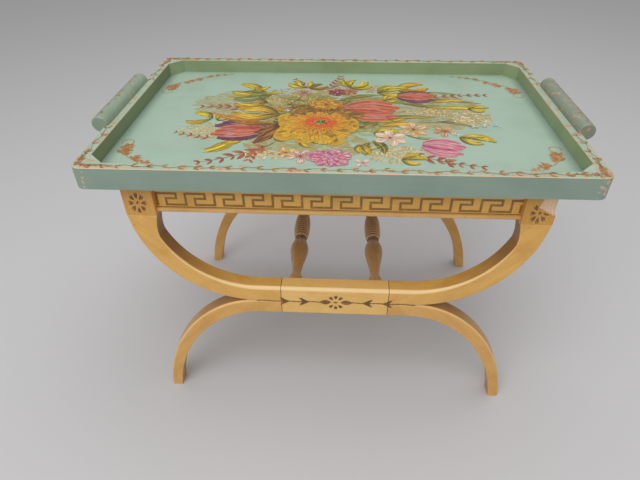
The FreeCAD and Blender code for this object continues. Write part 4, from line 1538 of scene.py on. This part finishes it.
# ---- tray
@dataclass
class Tray:
    """The lift-off tray: floor, walls, corner blocks, handle rods and cleats."""

    outer_arris: float = 1.1
    joint_arris: float = 0.35

    def wall_arris(self, middle: Vector, way: Vector) -> float:
        """How far an edge of a wall is eased: more outside, hardly at the joints and inside.

        Args:
            middle: an edge's middle.
            way: its direction.

        Returns:
            The width, in millimetres.
        """
        if abs(middle.z - RIM_Z) < 0.1:
            on_edge = max(abs(middle.x) - TRAY_HALF[0], abs(middle.y) - TRAY_HALF[1]) > -16.5
            outside = abs(abs(middle.x) - TRAY_HALF[0]) < 0.2 or abs(abs(middle.y) - TRAY_HALF[1]) < 0.2
            square = max(abs(way.x), abs(way.y)) > 0.999
            corner = abs(middle.x) > RECESS_HALF[0] + 0.5 and abs(middle.y) > RECESS_HALF[1] + 0.5 and not square
            if outside or corner:
                return self.outer_arris
            return 0.6 if on_edge else self.joint_arris
        return 0.0

    def walls(self) -> None:
        """Brushed green walls with rubbed outer arrises."""
        seam = tuple((side.value * RECESS_HALF[0], -TRAY_HALF[1], z, 5.2) for side in Side
                     for z in (456.0, 463.0, 471.0, 479.0))
        lit, shaded = ("#8FA078", "#9BAB84", "#7F8F66"), ("#74835F", "#7F8E69", "#66744F")
        right = ((340.0, -222.0, 459.0, 9.0), (344.0, -221.0, 468.0, 10.0), (341.0, -222.0, 477.0, 9.0))
        for node, along, chips in (
                ("tray_front_wall", Along.X, seam), ("tray_rear_wall", Along.X, ()),
                ("left_end_wall", Along.Y, seam), ("right_end_wall", Along.Y, seam + right)):
            paint = BrushedPaint("green_paint_" + node, 0.42, "#8A9E90", "#97AA9B", "#7C9083", along,
                                 streak=0.4, chips=chips).material()
            rubbed = BrushedPaint("rubbed_arris_" + node, 0.45, "#A9B79F", "#BCC8B2", "#93A28C", along,
                                  "#DDAF80", 0.62).material()
            hues = shaded if node == "left_end_wall" else lit
            inner = BrushedPaint("olive_paint_" + node, 0.45, *hues, along).material()
            top = BrushedPaint("rim_paint_" + node, 0.42, "#9FB39E", "#B0C2AE", "#8A9C82", along,
                               "#B98B60", 0.22).material()
            mesh = eased(node, self.wall_arris, 1)
            for face in mesh.polygons:
                if face.material_index == 1:
                    continue
                spot, out = face.center * 1000, face.normal
                if out.z > 0.9 and spot.z > RIM_Z - 0.5:
                    face.material_index = 3
                elif spot.x * out.x + spot.y * out.y < 0 and abs(out.z) < 0.5:
                    face.material_index = 2
            piece(node + "_painted", mesh, [paint, rubbed, inner, top], "tray", [node])

    def corner_blocks(self) -> None:
        """Small painted fillets in the corners."""
        paint = BrushedPaint("olive_paint_blocks", 0.45, "#8FA078", "#9DAC88", "#7A8A62").material()
        top = BrushedPaint("rim_paint_blocks", 0.42, "#A3B5A0", "#B4C4B0", "#8C9C82", Along.X, "#B98B60",
                           0.35).material()
        for face in Face:
            for side in Side:
                node = "tray_corner_block_%s_%s" % (face.word, side.word)
                mesh = eased(node, lambda middle, way: 0.5 if middle.z > FLOOR_Z + 1 else 0.0)
                for poly in mesh.polygons:
                    poly.material_index = 1 if poly.normal.z > 0.9 else 0
                piece(node + "_painted", mesh, [paint, top], "tray", [node])

    def floor(self) -> None:
        """The floor: blue-green paint above, bare hardboard below."""
        # the floor paint darkens towards the end walls as painted shadow
        paint = BrushedPaint("green_paint_floor", 0.36, "#9FB6A4", "#ACC2AF", "#93A994", streak=0.35,
                             basin=RECESS_HALF[0]).material()
        board = PlainWood("bare_hardboard", 0.75, "#8A6A46", "#6E5233").material()
        mesh = weld(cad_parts["tray_floor_panel"].data.copy())
        for face in mesh.polygons:
            face.material_index = 0 if face.normal.z > 0.5 and face.center.z * 1000 > FLOOR_Z - 1 else 1
        piece("tray_floor_painted", mesh, [paint, board], "tray", ["tray_floor_panel"])

    def rods(self) -> None:
        """The round handle rods."""
        for side in Side:
            node = side.word + "_handle_rod"
            hues = ("#879A85", "#98AA95", "#788A70") if side is Side.LEFT else ("#828B7A", "#939D8A", "#747E69")
            paint = BrushedPaint("green_paint_" + node, 0.4, *hues, Along.Y, "#C09A74", 0.2).material()
            mesh = eased(node, lambda middle, way: 0.5 if abs(middle.y) > 90 else 0.0)
            piece(node + "_painted", mesh, [paint], "tray", [node])

    def build(self) -> None:
        """Build and dress the tray."""
        self.walls()
        self.corner_blocks()
        self.floor()
        self.rods()
        wood = PlainWood("planed_cleat_wood", 0.7, "#B08A5A", "#8A6538", Along.Y).material()
        for side in Side:
            node = side.word + "_locating_cleat"
            mesh = eased(node, lambda middle, way: 0.0 if abs(middle.z - TRAY_BOTTOM_Z) < 0.1 else 0.5)
            piece(node + "_planed", mesh, [wood], "tray", [node])


# ---- stand
@dataclass
class Member:
    """A sawn member of a frame: an outer and an inner line, with the four long corners rounded."""

    outer: Sequence[Pair]
    inner: Sequence[Pair]
    front_inner: Sequence[float]
    rounding: float = 1.2
    faceted: float = 3.0
    end_ease: float = 0.5

    def section(self, i: int, shrink: float = 0.0) -> list[Vector]:
        """The loop of points round the member at one place.

        Args:
            i: the place's number along the lines.
            shrink: draws the loop in, for the eased ends.

        Returns:
            The points, from the outer front corner by way of the inner front one.
        """
        out, inn = self.outer[i], self.inner[i]
        across = Vector((inn[0] - out[0], 0.0, inn[1] - out[1]))
        width, depth = across.length - 2 * shrink, FRAME_FACE_Y - FRAME_BACK_Y - 2 * shrink
        across.normalize()
        start = Vector((out[0], shrink - FRAME_FACE_Y, out[1])) + across * shrink
        rest = self.rounding
        loop = []
        for p, q, first, radius, steps in (
                (0.0, 0.0, 180.0, rest, 3), (width, 0.0, 270.0, self.front_inner[i], 6),
                (width, depth, 0.0, rest, 3), (0.0, depth, 90.0, rest, 3)):
            centre_p = p + (radius if p == 0.0 else -radius)
            centre_q = q + (radius if q == 0.0 else -radius)
            for k in range(steps + 1):
                angle = math.radians(first + 90.0 * k / steps)
                # a small rounding keeps three flat facets, so its odd points lie on their chords
                on_chord = steps == 6 and k % 2 and radius <= self.faceted
                reach = radius * math.cos(math.radians(15)) if on_chord else radius
                back = Vector((0.0, centre_q + reach * math.sin(angle), 0.0))
                loop.append(start + across * (centre_p + reach * math.cos(angle)) + back)
        return loop

    def skin(self) -> Skin:
        """The whole member as a grid of loops with closed ends.

        Returns:
            The skin.
        """
        last = len(self.outer) - 1
        rows = [self.section(i) for i in range(last + 1)]
        for end, inward in ((0, 1), (last, last - 1)):
            nudge = (self.centre(inward) - self.centre(end)).normalized() * self.end_ease
            rows[end] = [p + nudge for p in rows[end]]
        rows = [self.section(0, self.end_ease)] + rows + [self.section(last, self.end_ease)]
        skin, size = Skin(), len(rows[0])
        skin.strip(rows, closed=True)
        skin.lid(0, size, flip=True)
        skin.lid(len(skin.points) - size, size, flip=False)
        return skin

    def centre(self, i: int) -> Vector:
        """The middle of the member at one place."""
        out, inn = self.outer[i], self.inner[i]
        return Vector(((out[0] + inn[0]) / 2, 0.0, (out[1] + inn[1]) / 2))


def mirrored(mesh: Mesh, side: Side, face: Face) -> Mesh:
    """A copy of a front right piece's mesh for another corner.

    Args:
        mesh: the front right piece.
        side: the side wanted.
        face: the frame wanted.

    Returns:
        The copy.
    """
    copy = mesh.copy()
    copy.transform(Matrix.Diagonal((side.value, -face.value, 1.0, 1.0)))
    if side.value * face.value > 0:
        copy.flip_normals()
    return copy


@dataclass
class Stand:
    """Two curule frames: centre blocks, arms, legs and top blocks."""

    arm_outer: tuple[float, float, float] = (122.0, 409.5, 179.5)
    arm_inner: tuple[float, float, float] = (121.5, 407.5, 148.5)
    leg_outer: tuple[float, float, float, float] = (122.0, -41.0, 188.0, 271.0)
    leg_inner: tuple[float, float, float, float] = (118.0, -41.0, 172.5, 246.0)
    bulge: Pair = (3.0, 2.4)
    round_centre: float = 6.6
    round_end: float = 1.0
    leg_round: float = 4.5
    torn_line: tuple[Pair, ...] = ((284.5, 453.0), (275.4, 420.8), (299.0, 408.8), (303.0, 409.0))

    def arm(self) -> Mesh:
        """The front right arm: straight at the block, a quarter circle, then upright inside.

        Returns:
            The mesh.
        """
        cx, cz, r = self.arm_outer
        ix, iz, ir = self.arm_inner
        stop_in = math.acos((BLOCK_X[0] + self.bulge[0] - ix) / ir)
        stop_out = math.asin((cz - BLOCK_BOTTOM_Z) / r)
        outer, inner, rounds = [], [], []
        turn_out = math.radians(22.5)
        for k in range(7):
            s = k / 6
            outer.append((CENTRE_HALF + (cx - CENTRE_HALF) * s, SEAM_Z))
            inner.append((CENTRE_HALF + (ix - CENTRE_HALF) * s, BAR_TOP_Z))
            rounds.append(self.round_centre)
        for k in range(1, 45):
            s = k / 44
            a = math.radians(-90) + (math.radians(90) - turn_out) * s
            b = math.radians(-90) + (math.radians(90) - stop_in) * s
            outer.append((cx + r * math.cos(a), cz + r * math.sin(a)))
            inner.append((ix + ir * math.cos(b), iz + ir * math.sin(b)))
            rounds.append(self.round_centre + (self.round_end - self.round_centre) * s)
        top = inner[-1][1]
        for k in range(1, 13):
            s = k / 12
            a = -turn_out + (turn_out - stop_out) * s
            outer.append((cx + r * math.cos(a), cz + r * math.sin(a)))
            x = BLOCK_X[0] + self.bulge[0] * (1 - s) + self.bulge[1] * 4 * s * (1 - s) * (1 - 0.45 * s)
            inner.append((x, top + (BLOCK_BOTTOM_Z - top) * s))
            rounds.append(self.round_end)
        mesh = weld(Member(outer, inner, rounds).skin().mesh("arm"))

        def rule(spot: Vector, out: Vector) -> float:
            """Painted shade inside the curve and deeper higher up under the tray, a painted highlight on the
            upper front rounding.

            Args:
                spot: a face's middle.
                out: its direction.

            Returns:
                The depth.
            """
            inward = Vector((cx - spot.x, 0.0, cz - spot.z)).normalized().dot(out) if spot.x > cx else out.z
            climb = min(max((spot.z - BAR_TOP_Z) / 110.0, 0.0), 1.0)
            if spot.z > BLOCK_BOTTOM_Z - 0.6 or spot.x < CENTRE_HALF + 0.6:
                return -0.4 if spot.z > BLOCK_BOTTOM_Z - 0.6 else 1.0
            if -0.97 < out.y < -0.2 and inward > 0.1:
                return -0.95 * (1.0 - climb) ** 0.5
            return 0.06 + 0.64 * min(1.0, 1.5 * climb) if inward > 0.8 else 0.0

        return with_painted_light(mesh, rule)

    def leg(self) -> Mesh:
        """The front right leg: straight at the block, then a quarter ellipse to the floor.

        Returns:
            The mesh.
        """
        ox, oz, ow, oh = self.leg_outer
        nx, nz, nw, nh = self.leg_inner
        foot_out, foot_in = math.asin(-oz / oh), math.asin(-nz / nh)
        outer, inner = [], []
        for k in range(7):
            s = k / 6
            inner.append((CENTRE_HALF + (nx - CENTRE_HALF) * s, BAR_BOTTOM_Z))
            outer.append((CENTRE_HALF + (ox - CENTRE_HALF) * s, SEAM_Z))
        for k in range(1, 57):
            s = k / 56
            a = math.pi / 2 + (foot_out - math.pi / 2) * s
            b = math.pi / 2 + (foot_in - math.pi / 2) * s
            outer.append((ox + ow * math.cos(a), oz + oh * math.sin(a)))
            inner.append((nx + nw * math.cos(b), nz + nh * math.sin(b)))
        member = Member(inner, outer, [self.leg_round] * len(outer))
        mesh = weld(member.skin().mesh("leg"))

        def rule(spot: Vector, out: Vector) -> float:
            """Painted shade under the curve and on the top near the centre, a painted highlight along the outer
            front rounding.

            Args:
                spot: a face's middle.
                out: its direction.

            Returns:
                The depth.
            """
            if spot.x < CENTRE_HALF + 0.6:
                return 1.0
            outward = Vector(((spot.x - ox) / ow ** 2, 0.0, (spot.z - oz) / oh ** 2)).normalized().dot(out)
            if -0.9 < out.y < -0.3 and outward > 0.1:
                return -0.5
            near = min(max((300.0 - spot.x) / 110.0, 0.0), 1.0)
            return 0.35 if outward < -0.8 else 0.6 * near if outward > 0.8 else 0.0

        return with_painted_light(mesh, rule)

    def centre_block(self) -> Mesh:
        """The front centre block, rounded like the arms along its upper front edge.

        Returns:
            The mesh.
        """
        count = 13
        low = [(-CENTRE_HALF + 2 * CENTRE_HALF * k / (count - 1), BAR_BOTTOM_Z) for k in range(count)]
        high = [(x, BAR_TOP_Z) for x, _ in low]
        mesh = weld(Member(low, high, [self.round_centre] * count).skin().mesh("centre_block"))
        # painted highlight on the upper front rounding, painted shade on the end faces and a little on the top
        return with_painted_light(mesh, lambda spot, out: -0.95 if -0.97 < out.y < -0.2 and out.z > 0.2 else
                      1.0 if abs(out.x) > 0.1 else 0.04 if out.z > 0.9 else 0.0)

    def top_block(self, broken: bool) -> Mesh:
        """The front right top block, with its upper outer corner torn off where broken.

        Args:
            broken: whether the corner is torn off.

        Returns:
            The mesh.
        """
        skin = Skin()
        rounded_box(skin, (BLOCK_X[0], -FRAME_FACE_Y, BLOCK_BOTTOM_Z),
                    (BLOCK_X[1], -FRAME_BACK_Y, TRAY_BOTTOM_Z), 1.0, 0.9 if broken else 12.0)
        depths = []
        for i, (x, y, z) in enumerate(skin.points):
            depth = self.tear(x, z) if broken else 0.0
            depths.append(depth)
            if depth > 0.0 and y < -FRAME_FACE_Y + 9.0:
                ruffle = 0.5 + 0.5 * math.sin(1.9 * x + 0.7 * z) * math.sin(0.9 * z - 0.4 * x)
                pull = min(3.2, 0.7 + 0.3 * depth + 0.6 * ruffle) * (1.0 - (y + FRAME_FACE_Y) / 9.0)
                skin.points[i] = Vector((x - 0.5 * pull * max(0.0, x - BLOCK_X[1] + 3.0) / 3.0, y + pull, z))
        mesh = skin.mesh("top_block")
        for face in mesh.polygons:
            near = [depths[v] for v in face.vertices]
            if min(near) > 0.0 and face.center.y * 1000 < -FRAME_FACE_Y + 9.0:
                face.material_index = 2 if min(near) < 1.5 else 1
        return weld(mesh)

    def tear(self, x: float, z: float) -> float:
        """How far a place on the block's face lies inside the torn corner; below zero is outside.

        Args:
            x: the place across.
            z: the place up.

        Returns:
            The depth.
        """
        depth = 99.0
        for (ax, az), (bx, bz) in zip(self.torn_line, self.torn_line[1:]):
            side = ((bx - ax) * (z - az) - (bz - az) * (x - ax)) / math.hypot(bx - ax, bz - az)
            depth = min(depth, side)
        return depth + 0.5 * math.sin(0.9 * x + 1.3 * z)

    def build(self) -> None:
        """Build and dress both frames."""
        arm, leg, block = self.arm(), self.leg(), self.centre_block()
        for face in Face:
            label = face.word
            wood = HoneyLacquer("honey_lacquer_" + label + "_centre", 0.4, "#F0BF6C", "#F6CC80",
                                "#D29F4E").material()
            self.show(label + "_centre_block", mirrored(block, Side.RIGHT, face), [wood])
            for side in Side:
                place = label + "_" + side.word
                lean = math.radians(-45.0 * side.value)
                arm_wood, leg_wood, top_wood = (
                    HoneyLacquer("honey_lacquer_" + place + part, 0.4, *hues, turn=(0.0, turn, 0.0)).material()
                    for part, hues, turn in (("_arm", (), lean), ("_leg", ("#DDA658", "#E7B56C"), -lean),
                                             ("_block", ("#D69A45", "#E0AA58"), math.pi / 2)))
                torn = BrokenWood("torn_beech_" + place, 0.8).material()
                rim = BrokenWood("torn_edge_" + place, 0.8, "#DDB58C", "#F3D9B4").material()
                top = self.top_block(face is Face.FRONT and side is Side.RIGHT)
                self.show(place + "_arm", mirrored(arm, side, face), [arm_wood])
                self.show(place + "_leg", mirrored(leg, side, face), [leg_wood])
                self.show(place + "_top_block", mirrored(top, side, face), [top_wood, torn, rim])

    def show(self, node: str, mesh: Mesh, finishes: Sequence[Material]) -> None:
        """Hand over one lacquered piece in place of its node."""
        piece(node + "_lacquered", mesh, finishes, "stand", [node])


@dataclass
class Rails:
    """Aprons with their mouldings and end rails."""

    apron_bottom: float = 396.5

    def build(self) -> None:
        """Build and dress the rails."""
        wood = HoneyLacquer("honey_lacquer_apron", 0.42, "#ECB455", "#F4C062", "#C28C38").material()
        bead_wood = HoneyLacquer("honey_lacquer_bead", 0.38, "#E0AE66", "#EBBD78", "#C38E42").material()
        skin = Skin()
        rounded_box(skin, (-BLOCK_X[0], -APRON_FACE_Y, self.apron_bottom), (BLOCK_X[0], -FRAME_BACK_Y,
                    TRAY_BOTTOM_Z), 0.5, 24.0)
        apron = weld(skin.mesh("apron"))
        for face in Face:
            label = face.word
            piece(label + "_apron_lacquered", mirrored(apron, Side.RIGHT, face), [wood], "stand",
                  [label + "_apron"])
            refinish(label + "_bead_moulding", bead_wood)
        rail_wood = PlainWood("planed_rail_wood", 0.7, "#AE8755", "#8A6536", Along.Y).material()
        for side in Side:
            node = side.word + "_end_rail"
            mesh = eased(node, lambda middle, way: 0.6)
            piece(node + "_planed", mesh, [rail_wood], "stand", [node])


@dataclass
class Spindle:
    """A turned spindle: foot, neck, vase, collar and ribbed barrel, the same both ways."""

    x: float = 67.0
    z: float = 234.0
    barrel_half: float = 36.0
    barrel_radius: Pair = (13.9, 8.8)
    ribs: int = 12
    rib_height: float = 1.1
    foot_start: float = 142.0
    foot_radius: float = 9.8
    base_radius: float = 11.0
    facets: int = 48
    vase: Sequence[Pair] = ((38.5, 7.0), (41.0, 8.4), (52.0, 13.2), (68.0, 16.0), (88.0, 13.9), (110.0, 9.9),
                            (130.0, 7.4))

    def radius(self, y: float) -> float:
        """The spindle's radius at a distance from its middle.

        Args:
            y: the distance from the middle.

        Returns:
            The radius.
        """
        y = abs(y)
        if y <= self.barrel_half:
            high, low = self.barrel_radius
            pitch = 2 * self.barrel_half / self.ribs
            crest = abs(math.sin(math.pi * y / pitch))
            return low + (high - low) * math.sqrt(1 - (y / self.barrel_half) ** 2) + self.rib_height * crest
        if y <= self.vase[0][0]:
            share = (y - self.barrel_half) / (self.vase[0][0] - self.barrel_half)
            return self.barrel_radius[1] + (self.vase[0][1] - self.barrel_radius[1]) * share
        for i in range(len(self.vase) - 1):
            (y0, r0), (y1, r1) = self.vase[i], self.vase[i + 1]
            if y <= y1:
                before = self.vase[max(i - 1, 0)]
                after = self.vase[min(i + 2, len(self.vase) - 1)]
                m0 = (r1 - before[1]) / (y1 - before[0])
                m1 = (after[1] - r0) / (after[0] - y0)
                t, h = (y - y0) / (y1 - y0), y1 - y0
                return ((2 * t ** 3 - 3 * t ** 2 + 1) * r0 + (t ** 3 - 2 * t ** 2 + t) * h * m0 +
                        (3 * t ** 2 - 2 * t ** 3) * r1 + (t ** 3 - t ** 2) * h * m1)
        neck_y, neck = self.vase[-1]
        if y <= self.foot_start:
            share = (y - neck_y) / (self.foot_start - neck_y)
            return neck + (self.foot_radius - neck) * share ** 1.7
        return min(self.base_radius, self.foot_radius + (y - self.foot_start) * 0.4)

    def hollow(self, y: float) -> float:
        """How much painted shade lies: in the grooves of the barrel and beside the collar.

        Args:
            y: the distance from the middle.

        Returns:
            The depth.
        """
        if y < self.barrel_half:
            return 1.25 * (1.0 - abs(math.sin(math.pi * y * self.ribs / 2 / self.barrel_half))) ** 1.3 - 0.1
        return 0.7 if y < self.vase[0][0] + 1.5 else 0.0

    def build(self) -> None:
        """Turn both spindles and dress them."""
        ys: list[float] = [-FRAME_BACK_Y, -171.6]
        y = -171.0
        while y < 171.0:
            ys.append(y)
            y += 0.75 if abs(y) < 42 else 1.5
        ys.extend((171.0, 171.6, FRAME_BACK_Y))
        for side in Side:
            line = bpy.data.meshes.new("spindle_line")
            points = [(side.value * self.x * MM, v * MM, self.z * MM) for v in ys]
            line.from_pydata(points, [(i, i + 1) for i in range(len(ys) - 1)], [])
            radii = line.attributes.new("radius", "FLOAT", "POINT")
            radii.data.foreach_set("value", [self.radius(v) * MM for v in ys])
            wood = TurnedWood("brown_toned_" + side.word + "_spindle", 0.4).material()
            mesh = with_painted_light(LATHE.grow(line, {"Facets": self.facets, "Finish": wood}),
                          lambda spot, out: self.hollow(abs(spot.y)))
            name = side.word + "_spindle"
            piece(name + "_turned", mesh, [wood], "stand", [name], 60.0)


@dataclass
class Stencilling:
    """Brown stencils on the stand: key course, rosettes and the garland along the seam."""

    stroke: float = 3.5
    unit: float = 41.56
    units: int = 13
    start_x: float = -255.8
    # the painted shadow line where the bead meets the apron, from bottom to top
    line: Pair = (403.4, 404.3)
    levels: tuple[float, float, float] = (407.8, 418.3, 426.4)
    film: float = 0.12

    def bar(self, skin: Skin, x0: float, x1: float, z0: float, z1: float) -> None:
        """Add one flat bar of stain, standing in the XZ plane, facing the front."""
        rows = [[(x0 + (x1 - x0) * i / 6, 0.0, z) for i in range(7)] for z in (z0, z1)]
        skin.strip(rows)

    def key(self) -> Mesh:
        """One unit of the key pattern from x = 0.

        Returns:
            The mesh.
        """
        skin, h, u = Skin(), self.stroke / 2, self.unit
        low, mid, top = self.levels
        left, right = 0.32 * u, 0.68 * u
        for bar in ((-h, h, low - h, top + h), (h, right + h, top - h, top + h),
                    (right - h, right + h, mid + h, top - h), (left - h, right + h, mid - h, mid + h),
                    (left - h, left + h, low - h, mid - h), (left + h, u - h, low - h, low + h)):
            self.bar(skin, *bar)
        return skin.mesh("key_unit")

    def on_face(self, mesh: Mesh, x: float, z: float, face: Face, depth: float) -> Mesh:
        """Stand a flat XY drawing up on a front face, or turn it round for the rear.

        Args:
            mesh: the drawing.
            x: where its middle goes across.
            z: where its middle goes up.
            face: which frame.
            depth: the face's distance from the table's middle.

        Returns:
            The same mesh.
        """
        stand = Matrix.Rotation(math.pi / 2, 4, "X")
        mesh.transform(Matrix.Translation((x * MM, -(depth + self.film) * MM, z * MM)) @ stand)
        if face is Face.REAR:
            mesh.transform(Matrix.Rotation(math.pi, 4, "Z"))
        return mesh

    def leaf(self, shape: Sequence[Pair], width: float, notch: float) -> Mesh:
        """A petal between two points, pointing along +X, with a notched end.

        Args:
            shape: its two ends.
            width: the widest part.
            notch: half the notch's width.

        Returns:
            The mesh.
        """
        brush = Brush(lambda x, y, lift: (x, y, lift), 9)
        start, end = shape
        for hand in (-1, 1):
            brush.stroke(start, (end[0], hand * notch), width, *WHITE, hand * width * 0.2, 0.6, 0.15, 6, 3)
        return brush.bare("stain_leaf")

    def rosette(self, name: str, x: float, z: float, face: Face, stain: Material, torn: bool) -> None:
        """A ring of eight notched drops with two dots in the middle.

        Args:
            name: the piece's name.
            x: its middle across.
            z: its middle up.
            face: which frame.
            stain: its material.
            torn: whether it lies over the torn corner.
        """
        leaf = self.leaf(((-3.9, 0.0), (3.8, 0.0)), 2.3, 1.3)
        mesh = RING.grow(leaf, {"Count": 8, "Radius": 8.9 * MM, "Finish": stain})
        brush = Brush(lambda u, v, lift: (u, v, lift), 5)
        brush.stroke((-1.4, -1.2), (1.4, 2.6), 2.4, *WHITE)
        brush.stroke((1.8, -0.8), (3.2, 0.4), 1.5, *WHITE)
        for part, label in ((mesh, ""), (brush.bare("dots"), "_dots")):
            part.transform(Matrix.Diagonal((1.03, 1.38, 1.0, 1.0)))
            self.on_face(part, x, z, face, FRAME_FACE_Y)
            if torn:
                self.clear_tear(part)
            piece(name + label, part, [stain], "stand")

    def clear_tear(self, mesh: Mesh) -> None:
        """Take away what would lie over the torn corner.

        Args:
            mesh: the stencil.
        """
        stand, work = Stand(), bmesh.new()
        work.from_mesh(mesh)
        gone = [f for f in work.faces if any(stand.tear(v.co.x * 1000, v.co.z * 1000) > -0.6 for v in f.verts)]
        bmesh.ops.delete(work, geom=gone, context="FACES")
        work.to_mesh(mesh)
        work.free()

    def garland(self, face: Face, stain: Material) -> None:
        """Petals, leaves, barbed buds and a thin wavy stem along the seam.

        Args:
            face: which frame.
            stain: its material.
        """
        brush = Brush(lambda x, y, lift: (x, y, lift), 13)
        for angle in (50, 90, 130, 230, 270, 310):
            near, tip = spread((0.0, 0.0), 7.0, angle), spread((0.0, 0.0), 15.6, angle)
            for hand in (-1, 1):
                brush.stroke(near, spread(tip, 1.3, angle + 90 * hand), 2.9, *WHITE, hand * 0.5, 0.6, 0.2, 6, 3)
        brush.stroke((-4.0, 0.3), (3.6, -0.3), 3.4, *WHITE, 0.0, 0.5, 0.2)
        for sign in (-1, 1):
            brush.stroke((sign * 7.5, 0.4), (sign * 26.5, 0.0), 9.8, *WHITE, 0.0, 0.5, 0.1, 9, 4)
            wave = [(24 + 8 * k, 0.7 * math.sin(1.3 * k + sign)) for k in range(14)]
            for (x0, y0), (x1, y1) in zip(wave, wave[1:]):
                brush.stroke((sign * x0, y0), (sign * x1, y1), 2.2, *WHITE, 0.0, 0.5, 0.7, 3, 2)
            for x, size in ((42, 1.0), (74, 0.95)):
                brush.stroke((sign * x, 0), (sign * (x + 14 * size), 0), 8.6 * size, *WHITE, 0.0, 0.62, 0.1,
                             8, 4)
                for hand in (-1, 1):
                    brush.stroke((sign * (x + 2), hand * 0.5), (sign * (x + 17 * size), hand * 8.6 * size),
                                 4.6 * size, *WHITE, -sign * hand * 1.3, 0.6, 0.08, 7, 3)
        mesh = self.on_face(brush.bare("garland"), 2.0, SEAM_Z + 0.8, face, FRAME_FACE_Y)
        piece(face.word + "_seam_garland", mesh, [stain], "stand")

    def build(self) -> None:
        """Stencil both frames."""
        for face in Face:
            label = face.word
            stain = BrownStain("brown_stain_" + label, 0.42, "#6E4924", "#9C733C", 0.5).material()
            pale = BrownStain("pale_stain_" + label, 0.45, "#8F672E", "#A9803F", 0.45).material()
            course = COURSE.grow(self.key(), {"Count": self.units, "Pitch": self.unit * MM, "Finish": pale})
            skin = Skin()
            # a thin painted shadow along the quirk above the bead
            self.bar(skin, -BLOCK_X[0], BLOCK_X[0], *self.line)
            for name, part, x, finish in (
                    ("_key_course", course, self.start_x, pale),
                    ("_glaze_line", skin.mesh("glaze_line"), 0.0, stain)):
                part.transform(Matrix.Translation((x * MM, -(APRON_FACE_Y + self.film) * MM, 0.0)))
                if part is course:
                    self.trim(course)
                if face is Face.REAR:
                    part.transform(Matrix.Rotation(math.pi, 4, "Z"))
                piece(label + name, part, [finish], "stand")
            for side, x, z in ((Side.LEFT, -280.7, 415.6), (Side.RIGHT, 278.8, 413.2)):
                torn = face is Face.FRONT and side is Side.RIGHT
                self.rosette(label + "_" + side.word + "_rosette", x, z, face, stain, torn)
            self.garland(face, stain)

    def trim(self, mesh: Mesh) -> None:
        """Cut the course off where the apron ends.

        Args:
            mesh: the course.
        """
        limit = (BLOCK_X[0] - 0.5) * MM
        for vertex in mesh.vertices:
            vertex.co.x = max(-limit, min(limit, vertex.co.x))


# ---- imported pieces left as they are
class Hardware:
    """Dowels, nails and screws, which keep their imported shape."""

    def build(self) -> None:
        """Give each its finish."""
        steel = DrawnSteel("drawn_steel", 0.38).material()
        birch = PlainWood("birch_dowel", 0.7, "#D2B68A", "#B89A68").material()
        brace = PlainWood("planed_brace_wood", 0.75, "#A9814E", "#86602F").material()
        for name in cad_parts:
            for ending, finish in (("nails", steel), ("brads", steel), ("screws", steel), ("dowels", birch),
                                   ("corner_brace", brace)):
                if name.endswith(ending):
                    refinish(name, finish)


# ---- studio
@dataclass
class Studio:
    """Pale floor, soft light and the camera."""

    camera_at: tuple[float, float, float] = (8.93, -779.33, 807.82)
    pitch_deg: float = 37.711
    yaw_deg: float = -3.108
    roll_deg: float = 0.446
    lens: float = 28.305
    sky: float = 0.42
    key_watts: float = 33.0
    overhead_watts: float = 19.0

    def floor(self) -> None:
        """A wide pale floor."""
        reach = 9.0
        mesh = bpy.data.meshes.new("studio_floor")
        mesh.from_pydata([(-reach, -reach, 0), (reach, -reach, 0), (reach, reach, 0), (-reach, reach, 0)], [],
                         [(0, 1, 2, 3)])
        bench = Finish("pale_floor", 0.9).start()
        mesh.materials.append(bench.dress({"Base Color": "#CECDCE", "Specular IOR Level": 0.2}))
        placed("studio_floor", mesh)

    def light(self, name: str, at: Sequence[float], size: float, watts: float) -> None:
        """A square lamp aimed at the tray.

        Args:
            name: the lamp's name.
            at: where it hangs.
            size: its width.
            watts: its power.
        """
        lamp = bpy.data.lights.new(name, "AREA")
        lamp.size = size
        lamp.energy = watts
        thing = placed(name, lamp)
        thing.location = at
        thing.rotation_euler = (Vector((0, 0, 0.4)) - Vector(at)).to_track_quat("-Z", "Y").to_euler()

    def world(self) -> None:
        """An even pale sky that lights at a plain level and looks white to the camera."""
        world = bpy.data.worlds.new("studio_sky")
        bpy.context.scene.world = world
        world.use_nodes = True
        tree = world.node_tree
        path = add(tree, "ShaderNodeLightPath")
        seen = add(tree, "ShaderNodeMath", {"operation": "MAXIMUM"}, {
            0: path.outputs["Is Camera Ray"], 1: path.outputs["Is Transmission Ray"]}).outputs[0]
        strength = add(tree, "ShaderNodeMapRange", {}, {
            "Value": seen, "To Min": self.sky, "To Max": 0.92}).outputs[0]
        feed(tree, tree.nodes["Background"], {"Color": "#FFFFFF", "Strength": strength})

    def camera(self) -> None:
        """A level camera that looks down on the table from the front."""
        data = bpy.data.cameras.new("camera")
        data.lens = self.lens
        data.sensor_width = 36.0
        thing = placed("camera", data)
        turn = (Matrix.Rotation(-math.radians(self.yaw_deg), 4, "Z") @
                Matrix.Rotation(math.radians(90 - self.pitch_deg), 4, "X") @
                Matrix.Rotation(-math.radians(self.roll_deg), 4, "Z"))
        thing.matrix_world = Matrix.Translation([c * MM for c in self.camera_at]) @ turn
        bpy.context.scene.camera = thing

    def build(self) -> None:
        """Set up the studio."""
        self.floor()
        self.world()
        self.light("key", (-0.5, -1.5, 2.3), 1.8, self.key_watts)
        self.light("overhead", (0.4, 0.5, 2.6), 2.2, self.overhead_watts)
        self.camera()
        bpy.context.scene.view_settings.view_transform = "Standard"


def main() -> None:
    """Build the pieces in order."""
    logging.basicConfig(level=logging.INFO, format="%(name)s %(message)s")
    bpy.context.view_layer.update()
    Tray().build()
    Bouquet().build()
    Gilding().build()
    Stand().build()
    Rails().build()
    Spindle().build()
    Stencilling().build()
    Hardware().build()
    Studio().build()


if __name__ == "__main__":
    main()
